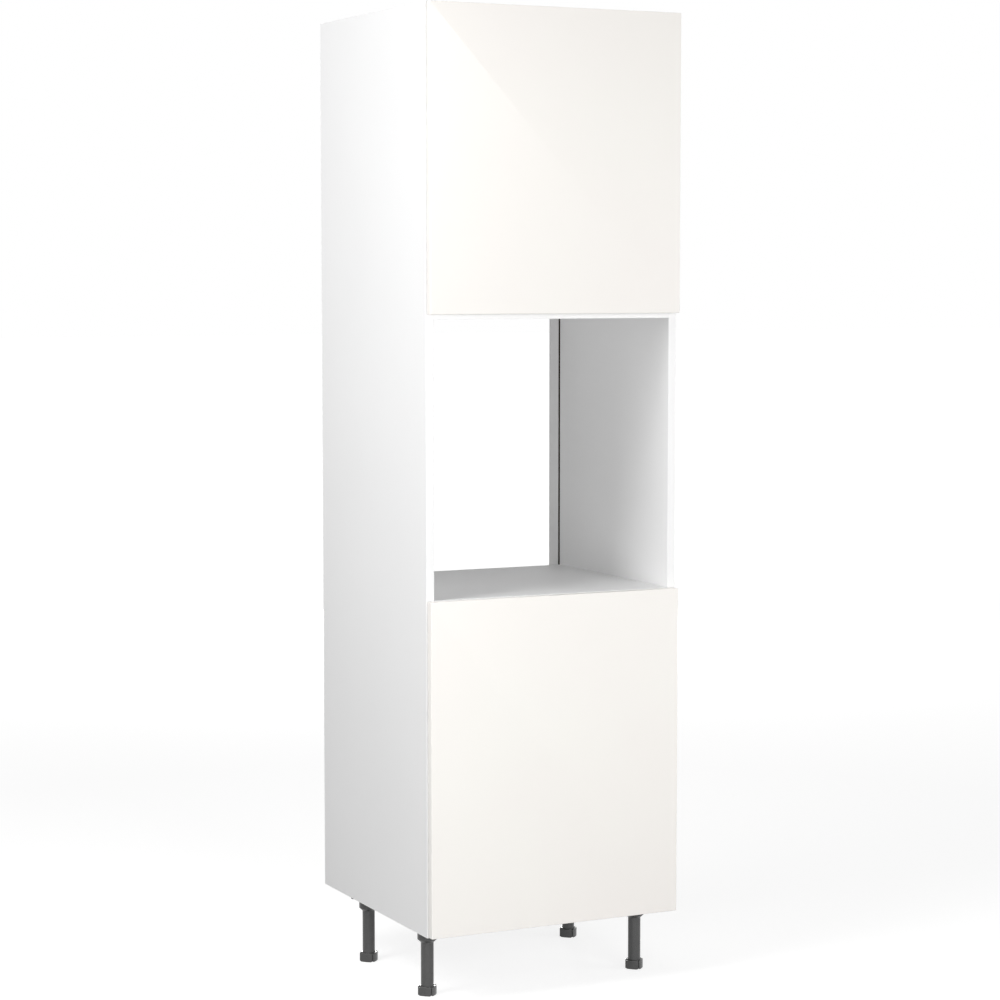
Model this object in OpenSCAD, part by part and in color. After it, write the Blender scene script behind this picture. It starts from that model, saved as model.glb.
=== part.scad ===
// Tall oven housing unit: a carcass of board on four adjustable legs, with an open
// niche for a built-in oven between a lower and an upper cupboard.
// Z = 0 is the floor, X = 0 the middle of the width and Y = 0 the middle of the depth
// from the front of the doors to the back of the side panels. The front looks along -Y.

/* [Carcass] */
// Width over both side panels
carcass_w = 600; // [500:10:900]
// Depth of the side panels with their edge bands
carcass_d = 570; // [540:5:640]
// Height of the side panels
carcass_h = 1970; // [1900:10:2300]
// Thickness of the side panels, the top, the base and the shelves
panel_t = 18; // [16:1:22]
// Thickness of the bands on the front edges
band_t = 1; // [0.5:0.5:2]
// Clear height of the oven niche
niche_h = 591; // [560:1:610]
// Free depth behind the back panel for cables and ducts
service_d = 47; // [40:1:70]

/* [Back panels] */
// Thickness of the back panels
back_t = 8; // [5:0.5:8]
// Width of the groove that holds a back panel
groove_w = 8.5; // [8.5:0.5:10]
// Depth of the groove in a side panel
groove_depth = 8.5; // [6:0.5:10]
// Play between a back panel's edge and the bottom of its groove
back_play = 0.5; // [0.3:0.1:0.8]
// Step from an oven shelf's face down or up to the edge of the back panel behind it
back_step = 5; // [3:1:12]

/* [Doors] */
// Height of the lower door
lower_door_h = 719; // [650:1:760]
// Thickness of a door
door_t = 18; // [18:1:24]
// Gap between a door's back and the front of the carcass
door_gap = 2; // [2:0.1:2.6]
// Reveal beside a door, at each side of the carcass
side_reveal = 2; // [1.5:0.5:3]
// Reveal below the lower door and above the upper door
end_reveal = 1.5; // [1:0.5:3]
// Height of shelf edge that shows above the lower door
lower_show = 1; // [0.5:0.5:3]
// Height of shelf edge that shows below the upper door
upper_show = 11; // [8:1:14]
// Distance from a door's end to the middle of its hinge
hinge_inset = 100; // [80:5:130]
// Radius of a door bumper
bumper_r = 4; // [3:0.5:5]
// Thickness of a door bumper
bumper_t = 1.7; // [1.5:0.1:1.9]
// Distance from a door's end to the middle of its bumper
bumper_inset = 30; // [15:1:60]

/* [Shelves] */
// Distance from the carcass front to the front of an adjustable shelf
shelf_setback = 20; // [10:1:40]
// Play between an adjustable shelf and each side panel
shelf_play = 0.8; // [0.5:0.1:1]
// Radius of a shelf pin's hole
pin_r = 2.5; // [2.5:0.25:3]
// Depth of a shelf pin's hole
pin_depth = 11; // [8:0.5:13]
// Distance from one pin hole up to the next
hole_pitch = 32; // [25:1:50]
// Height above a cupboard's floor where the pin holes begin
row_start = 200; // [170:5:230]
// Distance from the carcass front to the front row of holes
front_row = 37; // [37:1:45]
// Distance from the back panel's groove to the rear row of holes
rear_row = 60; // [40:1:90]

/* [Joints of the carcass] */
// Radius of a cam lock
cam_r = 7.5; // [6.5:0.5:8]
// Depth of a cam lock's bore
cam_depth = 14; // [12.5:0.5:14]
// Distance from a panel's end to the middle of its cam lock
cam_setback = 24; // [20:1:34]
// Distance from the front and from the groove to the cam bolts
bolt_inset = 37; // [30:1:42]
// Radius of a cam bolt's head
bolt_head_r = 3.5; // [3:0.25:4]
// Radius of a cam bolt's thread
bolt_thread_r = 2.5; // [2:0.25:3]
// Length of a cam bolt's thread in the side panel
bolt_thread_l = 11; // [9:0.5:13]
// Radius of a cover cap
cap_r = 9; // [8.5:0.5:11]
// Thickness of a cover cap
cap_t = 1.2; // [0.8:0.2:2]
// Radius of a dowel
dowel_r = 4; // [3:0.5:4]
// Length of a dowel in a side panel
dowel_side = 11; // [9:0.5:13]
// Length of a dowel in a shelf
dowel_shelf = 24; // [18:1:30]
// Distance from the front and from the groove to the dowels
dowel_inset = 101; // [94:1:108]

/* [Wall fixing] */
// Height of the rail that takes the wall bolts
rail_h = 100; // [80:5:150]
// Distance between the two wall bolts
rail_spacing = 400; // [200:10:440]
// Radius of a wall bolt's hole in the rail
rail_hole_r = 4; // [3:0.5:6]
// Radius of the hole for the bolt's head in the back panel
access_r = 9; // [8:0.5:14]

/* [Legs] */
// Height of the carcass above the floor
leg_h = 150; // [120:5:180]
// Distance from a side of the carcass to the middle of a leg
leg_side = 44; // [42:1:60]
// Distance from the carcass front to the middle of a front leg
leg_front = 96.5; // [85:0.5:110]
// Distance from the groove of the back panel to the middle of a rear leg
leg_rear = 97; // [85:0.5:110]
// Outer radius of a leg tube
tube_r = 14; // [12:0.5:15]
// Wall of a leg tube
tube_wall = 1.8; // [1.4:0.2:2.6]
// Radius of the flange that is screwed to the base
flange_r = 33; // [32:0.5:36]
// Thickness of the flange
flange_t = 4; // [3:0.5:6]
// Radius of a socket's collar
collar_r = 21.5; // [19:0.5:22]
// Height of a socket's collar below its flange
collar_h = 23.5; // [18:0.5:30]
// Height of the taper below the collar
taper_h = 5.5; // [4:0.5:8]
// Length of the flange's lug, from the middle of the leg
lug_reach = 42; // [38:1:42]
// Width of that lug
lug_w = 9; // [8:0.5:16]
// Distance from the middle of a leg to its screws
leg_screw_reach = 28; // [27:0.5:29]
// Radius of a leg screw
leg_screw_r = 2; // [1.5:0.25:2.25]
// Length of a leg screw in the base
leg_screw_l = 13; // [10:0.5:14]
// Width of a foot across two opposite pads
foot_w = 37; // [35:0.5:42]
// Width of a pad
pad_w = 29.4; // [28:0.2:31]
// Height of a foot
foot_h = 20; // [18:0.5:26]
// Width of the slot between two neighbouring pads, beside the hub
pad_slot = 2.5; // [2:0.25:4]
// Distance by which a foot screws out
foot_travel = 20; // [10:1:25]
// Radius of the spindle in a leg
spindle_r = 5; // [4:0.5:6]

/* [Hinges] */
// Radius of a hinge cup's bore
cup_r = 17.5; // [17.5:0.5:18]
// Board left between a door's edge and a cup's bore
cup_edge = 5; // [4.5:0.25:5.5]
// Depth of a hinge cup
cup_depth = 12; // [11.75:0.25:13]
// Wall of a hinge cup
cup_wall = 1; // [0.8:0.1:1.1]
// Radius of the link pins
link_pin_r = 1.5; // [1.25:0.125:1.625]
// Thickness of a hinge link
link_t = 2; // [1.6:0.1:2.1]
// Width of a hinge link
link_w = 11.6; // [9:0.2:12]
// Height by which a link is bowed
link_bow = 6; // [5.5:0.1:6.1]
// Thickness of the sheet of a hinge arm
arm_t = 1.6; // [1.2:0.1:1.8]
// Length of a hinge arm behind the carcass front
arm_l = 62; // [58:1:70]
// Distance between the two screws of a mounting plate
plate_spacing = 32; // [30:1:40]
// Thickness of a mounting plate's wings
wing_t = 2; // [1.5:0.25:2.5]

/* [Hidden] */
$fn = 64;

// Colours as they look in the photograph
board_white = [0.95, 0.95, 0.94];
door_white = [0.97, 0.97, 0.95];
leg_black = [0.16, 0.16, 0.17];
zinc = [0.78, 0.79, 0.80];
pin_steel = [0.62, 0.63, 0.65];
beech = [0.82, 0.68, 0.48];
clear_rubber = [0.88, 0.90, 0.90];

// Small allowances
eps = 0.5;             // how far a cut runs past the face that it opens
fit = 0.05;            // radial play of a piece that is pressed or screwed in
run_fit = 0.06;        // radial play of a piece that turns
slack = 0.3;           // gap between pieces that move past each other

// Places along Y, from the front to the back
overall_d = door_t + door_gap + carcass_d;
door_y = -overall_d / 2;
face_y = door_y + door_t + door_gap;
board_y = face_y + band_t;
back_y = face_y + carcass_d;
groove_y = back_y - service_d - groove_w;
shelf_d = groove_y - board_y;

// Places along X
inner_x = carcass_w / 2 - panel_t;
door_x = carcass_w / 2 - side_reveal;
door_w = 2 * door_x;

// Places along Z, from the floor up
base_z = leg_h;
carcass_top = base_z + carcass_h;
lower_door_z = base_z + end_reveal;
oven_shelf_top = lower_door_z + lower_door_h + lower_show;
oven_shelf_z = oven_shelf_top - panel_t;
over_shelf_z = oven_shelf_top + niche_h;
upper_door_z = over_shelf_z + upper_show;
upper_door_h = carcass_top - end_reveal - upper_door_z;
top_z = carcass_top - panel_t;
fixed_z = [base_z, oven_shelf_z, over_shelf_z, top_z];
cam_sides = [-1, -1, 1, -1];

// Inside of the two cupboards: floor and clear height
lower_floor = base_z + panel_t;
lower_clear = oven_shelf_z - lower_floor;
upper_floor = over_shelf_z + panel_t;
upper_clear = top_z - upper_floor;
function row_count(clear) = floor((clear - 2 * row_start) / hole_pitch) + 1;
function row_z(floor_z, i) = floor_z + row_start + i * hole_pitch;
function shelf_row(clear) = floor(row_count(clear) / 2);
function shelf_z(floor_z, clear) = row_z(floor_z, shelf_row(clear)) + pin_r;
row_ys = [face_y + front_row, groove_y - rear_row];
tongue_l = 10;
tongue_w = 9;
tongue_h = 5;

// Cam joints and dowels
bolt_ys = [face_y + bolt_inset, groove_y - bolt_inset];
dowel_ys = [face_y + dowel_inset, groove_y - dowel_inset];
bolt_play = 0.2;
bolt_bore_r = bolt_head_r + bolt_play;
bolt_step = 1;
bolt_neck_r = bolt_head_r - bolt_step;
bolt_collar_l = 1.5;
bolt_head_l = 4;
cam_play = 0.1;
cam_slot_w = 1.6;
cam_slot_depth = 2;

// Wall rail
rail_y = groove_y + groove_w;
rail_z = carcass_top - rail_h;
rail_dowel_l = 22;
rail_dowel_zs = [rail_z + rail_h / 4, rail_z + 3 * rail_h / 4];

// Legs
leg_sign_x = [-1, 1, -1, 1];
leg_rows = [0, 0, 1, 1];
leg_x = carcass_w / 2 - leg_side;
leg_ys = [face_y + leg_front, groove_y - leg_rear];
leg_screw_angle = 55;
lug_angles = [-135, -45, 180, 0];
collar_z = base_z - flange_t - collar_h;
tube_top = base_z - flange_t - slack;
recess_depth = 5.5;
recess_z = foot_h - recess_depth;
tube_bottom = recess_z + slack;
nut_gap = 2;
nut_z = foot_h + nut_gap;
nut_h = 14;
hub_step = 2;
hub_r = foot_w / 2 - hub_step;
lip_w = 1.3;
screw_head_h = 2;
pad_crown_r = 50;
pad_corner_r = 3.5;
pad_corner_step = 15;
spindle_z = 6;
spindle_spare = 10;
spindle_top = nut_z + nut_h + foot_travel + spindle_spare;
thread_gap = 1;
thread_z = foot_h + thread_gap;
thread_pitch = 3.5;
thread_depth = 0.8;

// Hinge plane: x runs inwards from the door's hinge edge, y forwards from the carcass
// front. The door turns on a link: the link turns on the arm's pin, and the door on the
// cup's pin. Together they carry the door's edge clear of the side panel.
arm_pin_x = 33;
cup_pin_in = 6;
cup_pin_deep = 6;
arm_pin = [arm_pin_x, door_gap];
cup_pin = [cup_edge + cup_pin_in, door_gap + cup_pin_deep];

// Cups and their screws
cup_mid = cup_edge + cup_r;
cup_floor = 0.8;
cup_seat = 0.5;
cup_flange_t = 1.2;
cup_rim = 1.5;
notch_in = 6;
notch_sill = 2;
notch_play = 0.8;
ear_lead = 9.5;
ear_x = cup_mid + ear_lead;
ear_spacing = 45;
ear_plate = 7;
ear_r = 2;
ear_hole_l = 11;
ear_head = 1.4;
ear_head_h = 0.7;

// Mounting plates and their screws
plate_x = panel_t - side_reveal;
plate_mid = -front_row;
wing_half = 10;
wing_end = 9;
block_h = 9;
block_x = plate_x + block_h;
block_front = 16;
plate_screw_r = 2.5;
plate_screw_l = 11;
plate_head = 2;
plate_head_h = 2;

// Arms, their pins and their adjusting screws
web_rise = 13;
web_lead = 5;
web_x = max(plate_x + web_rise, arm_pin_x - web_lead);
web_front = 9;
neck_y = -8;
neck_lead = 1;
cheek_lap = 0.01;
cheek_in = link_w / 2 + slack;
cheek_out = cheek_in + arm_t;
arm_eye_wall = 1.6;
eye_r = link_pin_r + arm_eye_wall;
link_eye_wall = 1.1;
link_eye_r = link_pin_r + link_eye_wall;
adjuster_bore_l = 6;
adjuster_end = 0.5;
adjuster_head = 1.5;
adjuster_head_h = 1.6;
adjuster_back = 17;
adjuster_front = 13;
adjuster_ys = [plate_mid - adjuster_back, plate_mid + adjuster_front];
slot_w = 0.8;
slot_l = 4;
slot_depth = 0.9;

// Heights of the hinges
upper_hinge_zs = [upper_door_z + hinge_inset, upper_door_z + upper_door_h - hinge_inset];
lower_hinge_zs = [lower_door_z + hinge_inset, lower_door_z + lower_door_h - hinge_inset];
all_hinge_zs = concat(upper_hinge_zs, lower_hinge_zs);

// ---- Helpers ----

// A cylinder that starts on the inner face of a side panel and runs into it.
// side is -1 for the left panel and 1 for the right one
module into_side(side, y, z, r, l) {
    translate([side * inner_x, y, z])
        rotate([0, side * 90, 0])
            translate([0, 0, -eps])
                cylinder(r = r, h = l + eps);
}

// Children in the hinge plane, at height z
module at_hinge(z) {
    translate([door_x, face_y, z])
        rotate([0, 0, 180])
            children();
}

// Children at each hinge of a door
module at_hinges(zs) {
    for (z = zs) at_hinge(z) children();
}

// A round bar across the hinge plane, standing along Z and centred on it
module cross_bar(at, r, l) {
    translate([at[0], at[1], -l / 2])
        cylinder(r = r, h = l);
}

// Children on the floor at the middle of leg i
module at_leg(i) {
    translate([leg_sign_x[i] * leg_x, leg_ys[leg_rows[i]], 0])
        children();
}

// ---- Carcass ----

module pin_holes(side, floor_z, clear) {
    for (y = row_ys, i = [0 : row_count(clear) - 1])
        into_side(side, y, row_z(floor_z, i), pin_r, pin_depth);
}

module side_panel(side) {
    difference() {
        translate([side > 0 ? inner_x : -inner_x - panel_t, board_y, base_z])
            cube([panel_t, carcass_d - band_t, carcass_h]);
        translate([side > 0 ? inner_x - eps : -inner_x - groove_depth, groove_y, base_z - eps])
            cube([groove_depth + eps, groove_w, carcass_h + 2 * eps]);
        pin_holes(side, lower_floor, lower_clear);
        pin_holes(side, upper_floor, upper_clear);
        for (z0 = fixed_z) {
            for (y = bolt_ys) into_side(side, y, z0 + panel_t / 2, bolt_thread_r + fit, bolt_thread_l + fit);
            for (y = dowel_ys) into_side(side, y, z0 + panel_t / 2, dowel_r, dowel_side);
        }
        for (z = rail_dowel_zs) into_side(side, rail_y + panel_t / 2, z, dowel_r, dowel_side);
        if (side > 0)
            for (z = all_hinge_zs, s = [-1, 1])
                into_side(
                    side, face_y - plate_mid, z + s * plate_spacing / 2,
                    plate_screw_r + fit, plate_screw_l
                );
    }
}

module left_side_panel() {
    color(board_white) side_panel(-1);
}

module right_side_panel() {
    color(board_white) side_panel(1);
}

module side_edge_bands() {
    color(board_white)
        for (x = [-carcass_w / 2, inner_x])
            translate([x, face_y, base_z])
                cube([panel_t, band_t, carcass_h]);
}

// A fixed panel between the sides. cam_side is 1 where its cams are let into the top
// face and -1 where they are let into the underside
module fixed_panel(z0, cam_side) {
    difference() {
        translate([-inner_x, board_y, z0])
            cube([2 * inner_x, shelf_d, panel_t]);
        for (side = [-1, 1]) {
            for (y = bolt_ys) {
                translate([side * inner_x, y, z0 + panel_t / 2])
                    rotate([0, -side * 90, 0])
                        translate([0, 0, -eps])
                            cylinder(r = bolt_bore_r, h = cam_setback + eps);
                at_cam(side, y, z0, cam_side)
                    translate([0, 0, -eps])
                        cylinder(r = cam_r, h = cam_depth + eps);
            }
            for (y = dowel_ys)
                translate([side * inner_x, y, z0 + panel_t / 2])
                    rotate([0, -side * 90, 0])
                        translate([0, 0, -eps])
                            cylinder(r = dowel_r, h = dowel_shelf + eps);
        }
    }
}

// Children with their Z axis running from the face of a fixed panel into it, at a cam
module at_cam(side, y, z0, cam_side) {
    translate([side * (inner_x - cam_setback), y, cam_side > 0 ? z0 + panel_t : z0])
        rotate([cam_side > 0 ? 180 : 0, 0, 0])
            children();
}

module top_panel() {
    color(board_white) fixed_panel(top_z, cam_sides[3]);
}

module base_panel() {
    color(board_white)
        difference() {
            fixed_panel(base_z, cam_sides[0]);
            for (i = [0 : 3]) at_leg(i)
                at_leg_screws()
                    translate([0, 0, base_z - eps])
                        cylinder(r = leg_screw_r + fit, h = leg_screw_l + eps + fit);
        }
}

module oven_shelf() {
    color(board_white) fixed_panel(oven_shelf_z, cam_sides[1]);
}

module over_oven_shelf() {
    color(board_white) fixed_panel(over_shelf_z, cam_sides[2]);
}

module shelf_edge_bands() {
    color(board_white)
        for (z0 = fixed_z)
            translate([-inner_x, face_y, z0])
                cube([2 * inner_x, band_t, panel_t]);
}

// A back panel in the grooves of the side panels, from z0 to z1
module back_panel(z0, z1) {
    half_w = inner_x + groove_depth - back_play;
    translate([-half_w, groove_y + (groove_w - back_t) / 2, z0])
        cube([2 * half_w, back_t, z1 - z0]);
}

module upper_back_panel() {
    color(board_white)
        difference() {
            back_panel(over_shelf_z + back_step, carcass_top);
            for (s = [-1, 1])
                translate([s * rail_spacing / 2, groove_y - eps, rail_z + rail_h / 2])
                    rotate([-90, 0, 0])
                        cylinder(r = access_r, h = groove_w + 2 * eps);
        }
}

module lower_back_panel() {
    color(board_white) back_panel(base_z, oven_shelf_top - back_step);
}

module wall_fixing_rail() {
    color(board_white)
        difference() {
            translate([-inner_x, rail_y, rail_z])
                cube([2 * inner_x, panel_t, rail_h]);
            for (s = [-1, 1])
                translate([s * rail_spacing / 2, rail_y - eps, rail_z + rail_h / 2])
                    rotate([-90, 0, 0])
                        cylinder(r = rail_hole_r, h = panel_t + 2 * eps);
            for (s = [-1, 1], z = rail_dowel_zs)
                translate([s * inner_x, rail_y + panel_t / 2, z])
                    rotate([0, -s * 90, 0])
                        translate([0, 0, -eps])
                            cylinder(r = dowel_r, h = rail_dowel_l + eps);
        }
}

// ---- Adjustable shelves ----

module adjustable_shelf(floor_z, clear) {
    translate([-inner_x + shelf_play, face_y + shelf_setback, shelf_z(floor_z, clear)])
        cube([2 * (inner_x - shelf_play), groove_y - slack - face_y - shelf_setback, panel_t]);
}

module upper_adjustable_shelf() {
    color(board_white) adjustable_shelf(upper_floor, upper_clear);
}

module lower_adjustable_shelf() {
    color(board_white) adjustable_shelf(lower_floor, lower_clear);
}

// Four pins: a stem in the side panel and a flat tongue under the shelf
module shelf_pins(floor_z, clear) {
    z = row_z(floor_z, shelf_row(clear));
    for (side = [-1, 1], y = row_ys)
        translate([side * inner_x, y, z]) {
            rotate([0, side * 90, 0])
                cylinder(r = pin_r - fit, h = pin_depth - slack);
            translate([side > 0 ? -tongue_l : 0, -tongue_w / 2, pin_r - tongue_h])
                cube([tongue_l, tongue_w, tongue_h]);
        }
}

module upper_shelf_pins() {
    color(zinc) shelf_pins(upper_floor, upper_clear);
}

module lower_shelf_pins() {
    color(zinc) shelf_pins(lower_floor, lower_clear);
}

// ---- Cam joints and dowels ----

module cam_locks() {
    color(zinc)
        for (k = [0 : 3], side = [-1, 1], y = bolt_ys)
            difference() {
                at_cam(side, y, fixed_z[k], cam_sides[k])
                    difference() {
                        translate([0, 0, slack])
                            cylinder(r = cam_r - cam_play, h = cam_depth - 2 * slack);
                        for (a = [0, 90])
                            rotate([0, 0, a])
                                translate([-cam_r / 2, -cam_slot_w / 2, slack - eps])
                                    cube([cam_r, cam_slot_w, cam_slot_depth + eps]);
                    }
                translate([side * inner_x, y, fixed_z[k] + panel_t / 2])
                    rotate([0, -side * 90, 0])
                        cylinder(r = bolt_bore_r, h = cam_setback + 2 * eps);
            }
}

module cam_bolts() {
    color(zinc)
        for (z0 = fixed_z, side = [-1, 1], y = bolt_ys)
            translate([side * inner_x, y, z0 + panel_t / 2])
                rotate([0, side * 90, 0])
                    rotate_extrude()
                        polygon([
                            [0, -cam_setback], [bolt_head_r, -cam_setback],
                            [bolt_head_r, bolt_head_l - cam_setback],
                            [bolt_neck_r, bolt_head_l - cam_setback],
                            [bolt_neck_r, -bolt_collar_l], [bolt_head_r, -bolt_collar_l],
                            [bolt_head_r, 0], [bolt_thread_r, 0],
                            [bolt_thread_r, bolt_thread_l], [0, bolt_thread_l]
                        ]);
}

module cam_caps() {
    color(board_white)
        for (k = [0 : 3], side = [-1, 1], y = bolt_ys)
            at_cam(side, y, fixed_z[k], cam_sides[k])
                translate([0, 0, -cap_t])
                    cylinder(r = cap_r, h = cap_t);
}

module dowel(side, y, z, shelf_l) {
    translate([side * (inner_x + dowel_side - fit), y, z])
        rotate([0, -side * 90, 0])
            cylinder(r = dowel_r - fit, h = dowel_side + shelf_l - 2 * fit);
}

module dowels() {
    color(beech) {
        for (z0 = fixed_z, side = [-1, 1], y = dowel_ys)
            dowel(side, y, z0 + panel_t / 2, dowel_shelf);
        for (side = [-1, 1], z = rail_dowel_zs)
            dowel(side, rail_y + panel_t / 2, z, rail_dowel_l);
    }
}

// ---- Doors ----

module door(z0, h, hinge_zs) {
    difference() {
        translate([-door_x, door_y, z0])
            cube([door_w, door_t, h]);
        at_hinges(hinge_zs) {
            translate([cup_mid, door_gap - eps, 0])
                rotate([-90, 0, 0])
                    cylinder(r = cup_r, h = cup_depth + cup_seat + eps);
            for (s = [-1, 1])
                translate([ear_x, door_gap - eps, s * ear_spacing / 2])
                    rotate([-90, 0, 0])
                        cylinder(r = ear_r + fit, h = ear_hole_l + eps);
        }
    }
}

module upper_door() {
    color(door_white) door(upper_door_z, upper_door_h, upper_hinge_zs);
}

module lower_door() {
    color(door_white) door(lower_door_z, lower_door_h, lower_hinge_zs);
}

// Bumpers on the back of a door, near its free edge
module door_bumpers(z0, h) {
    for (z = [z0 + bumper_inset, z0 + h - bumper_inset])
        translate([-carcass_w / 2 + panel_t / 2, face_y - door_gap, z])
            rotate([-90, 0, 0])
                cylinder(r = bumper_r, h = bumper_t);
}

module upper_door_bumpers() {
    color(clear_rubber) door_bumpers(upper_door_z, upper_door_h);
}

module lower_door_bumpers() {
    color(clear_rubber) door_bumpers(lower_door_z, lower_door_h);
}

// ---- Hinges ----

module hinge_plates() {
    color(zinc)
        at_hinges(all_hinge_zs)
            difference() {
                union() {
                    translate([plate_x, plate_mid - wing_half, -plate_spacing / 2 - wing_end])
                        cube([wing_t, 2 * wing_half, plate_spacing + 2 * wing_end]);
                    translate([plate_x, -arm_l, -link_w / 2])
                        cube([block_h, arm_l - block_front, link_w]);
                }
                for (s = [-1, 1])
                    translate([plate_x - eps, plate_mid, s * plate_spacing / 2])
                        rotate([0, 90, 0])
                            cylinder(r = plate_screw_r + fit, h = wing_t + 2 * eps);
                for (y = adjuster_ys)
                    translate([block_x - adjuster_bore_l, y, 0])
                        rotate([0, 90, 0])
                            cylinder(r = plate_screw_r + fit, h = adjuster_bore_l + eps);
            }
}

// Outline of one cheek of the arm, in the hinge plane
module cheek_outline() {
    neck = arm_pin - [web_x - neck_lead, neck_y];
    across = [neck[1], -neck[0]] / norm(neck) * eye_r;
    translate([plate_x + wing_t + slack, -arm_l])
        square([web_x + arm_t - plate_x - wing_t - slack, arm_l + neck_y]);
    polygon([
        [web_x - web_lead, neck_y - cheek_lap], [web_x + arm_t, neck_y - cheek_lap],
        arm_pin + across, arm_pin - across
    ]);
    translate(arm_pin)
        circle(r = eye_r);
}

module hinge_arms() {
    color(zinc)
        at_hinges(all_hinge_zs)
            difference() {
                union() {
                    for (z = [-cheek_out, cheek_in])
                        translate([0, 0, z])
                            linear_extrude(arm_t)
                                cheek_outline();
                    translate([web_x, -arm_l, -cheek_in])
                        cube([arm_t, arm_l - web_front, 2 * cheek_in]);
                }
                cross_bar(arm_pin, link_pin_r + fit, 2 * cheek_out + 2 * eps);
                for (y = adjuster_ys)
                    translate([web_x - eps, y, 0])
                        rotate([0, 90, 0])
                            cylinder(r = plate_screw_r + slack, h = arm_t + 2 * eps);
            }
}

module hinge_arm_pins() {
    color(pin_steel)
        at_hinges(all_hinge_zs)
            cross_bar(arm_pin, link_pin_r, 2 * cheek_out);
}

module hinge_plate_screws() {
    color(pin_steel)
        at_hinges(all_hinge_zs)
            for (s = [-1, 1])
                translate([plate_x + wing_t, plate_mid, s * plate_spacing / 2])
                    rotate([0, 90, 0]) {
                        cylinder(r = plate_screw_r + plate_head, h = plate_head_h);
                        translate([0, 0, -wing_t - plate_screw_l + slack])
                            cylinder(r = plate_screw_r, h = wing_t + plate_screw_l - slack);
                    }
}

module hinge_adjusters() {
    shank_l = web_x + arm_t - block_x + adjuster_bore_l - adjuster_end;
    color(pin_steel)
        at_hinges(all_hinge_zs)
            for (y = adjuster_ys)
                translate([web_x + arm_t, y, 0])
                    rotate([0, 90, 0])
                        difference() {
                            union() {
                                cylinder(r = plate_screw_r + adjuster_head, h = adjuster_head_h);
                                translate([0, 0, -shank_l])
                                    cylinder(r = plate_screw_r, h = shank_l);
                            }
                            for (a = [0, 90])
                                rotate([0, 0, a])
                                    translate([-slot_l / 2, -slot_w / 2, adjuster_head_h - slot_depth])
                                        cube([slot_l, slot_w, slot_depth + eps]);
                        }
}

// The link: a bowed strip with an eye at each end
module link_outline() {
    chord = cup_pin - arm_pin;
    chord_l = norm(chord);
    bow_r = (chord_l * chord_l / 4 + link_bow * link_bow) / (2 * link_bow);
    normal = [chord[1], -chord[0]] / chord_l;
    middle = (arm_pin + cup_pin) / 2 - normal * (bow_r - link_bow);
    intersection() {
        translate(middle)
            difference() {
                circle(r = bow_r + link_t / 2);
                circle(r = bow_r - link_t / 2);
            }
        polygon([
            middle, middle + 2 * (arm_pin - middle), middle + 3 * bow_r * normal,
            middle + 2 * (cup_pin - middle)
        ]);
    }
    translate(arm_pin)
        circle(r = link_eye_r);
    translate(cup_pin)
        circle(r = link_eye_r);
}

module hinge_links(zs) {
    at_hinges(zs)
        difference() {
            translate([0, 0, -link_w / 2])
                linear_extrude(link_w)
                    link_outline();
            cross_bar(arm_pin, link_pin_r + run_fit, link_w + 2 * eps);
            cross_bar(cup_pin, link_pin_r + run_fit, link_w + 2 * eps);
        }
}

module upper_hinge_links() {
    color(zinc) hinge_links(upper_hinge_zs);
}

module lower_hinge_links() {
    color(zinc) hinge_links(lower_hinge_zs);
}

// A cup with its flange on the back of the door, open at the side of the door's edge
module hinge_cups(zs) {
    inner_r = cup_r - fit - cup_wall;
    notch_w = link_w + 2 * notch_play;
    at_hinges(zs)
        difference() {
            union() {
                translate([cup_mid, door_gap, 0])
                    rotate([-90, 0, 0])
                        cylinder(r = cup_r - fit, h = cup_depth);
                translate([cup_mid, door_gap - cup_flange_t, 0])
                    rotate([-90, 0, 0])
                        cylinder(r = cup_r + cup_rim, h = cup_flange_t);
                translate([ear_x - ear_plate, door_gap - cup_flange_t, -ear_spacing / 2 - ear_plate])
                    cube([2 * ear_plate, cup_flange_t, ear_spacing + 2 * ear_plate]);
            }
            translate([cup_mid, door_gap - cup_flange_t - eps, 0])
                rotate([-90, 0, 0])
                    cylinder(r = inner_r, h = cup_depth + cup_flange_t + eps - cup_floor);
            translate([cup_edge - cup_rim - eps, door_gap - cup_flange_t - eps, -notch_w / 2])
                cube([
                    notch_in + cup_rim + eps,
                    cup_depth + cup_flange_t + eps - cup_floor - notch_sill, notch_w
                ]);
            cross_bar(cup_pin, link_pin_r + fit, 2 * cup_r);
            for (s = [-1, 1])
                translate([ear_x, door_gap - cup_flange_t - eps, s * ear_spacing / 2])
                    rotate([-90, 0, 0])
                        cylinder(r = ear_r + fit, h = cup_flange_t + 2 * eps);
        }
}

module upper_hinge_cups() {
    color(zinc) hinge_cups(upper_hinge_zs);
}

module lower_hinge_cups() {
    color(zinc) hinge_cups(lower_hinge_zs);
}

// Pins across the cups, with their ends in the cups' walls
module cup_pins(zs) {
    far = cup_mid - cup_pin[0] + link_pin_r;
    reach_r = cup_r - 2 * fit;
    at_hinges(zs)
        cross_bar(cup_pin, link_pin_r, 2 * sqrt(reach_r * reach_r - far * far));
}

module upper_cup_pins() {
    color(pin_steel) cup_pins(upper_hinge_zs);
}

module lower_cup_pins() {
    color(pin_steel) cup_pins(lower_hinge_zs);
}

module cup_screws(zs) {
    at_hinges(zs)
        for (s = [-1, 1])
            translate([ear_x, door_gap - cup_flange_t, s * ear_spacing / 2])
                rotate([-90, 0, 0]) {
                    translate([0, 0, -ear_head_h])
                        cylinder(r = ear_r + ear_head, h = ear_head_h);
                    cylinder(r = ear_r, h = cup_flange_t + ear_hole_l - slack);
                }
}

module upper_cup_screws() {
    color(pin_steel) cup_screws(upper_hinge_zs);
}

module lower_cup_screws() {
    color(pin_steel) cup_screws(lower_hinge_zs);
}

// ---- Legs ----

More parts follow.
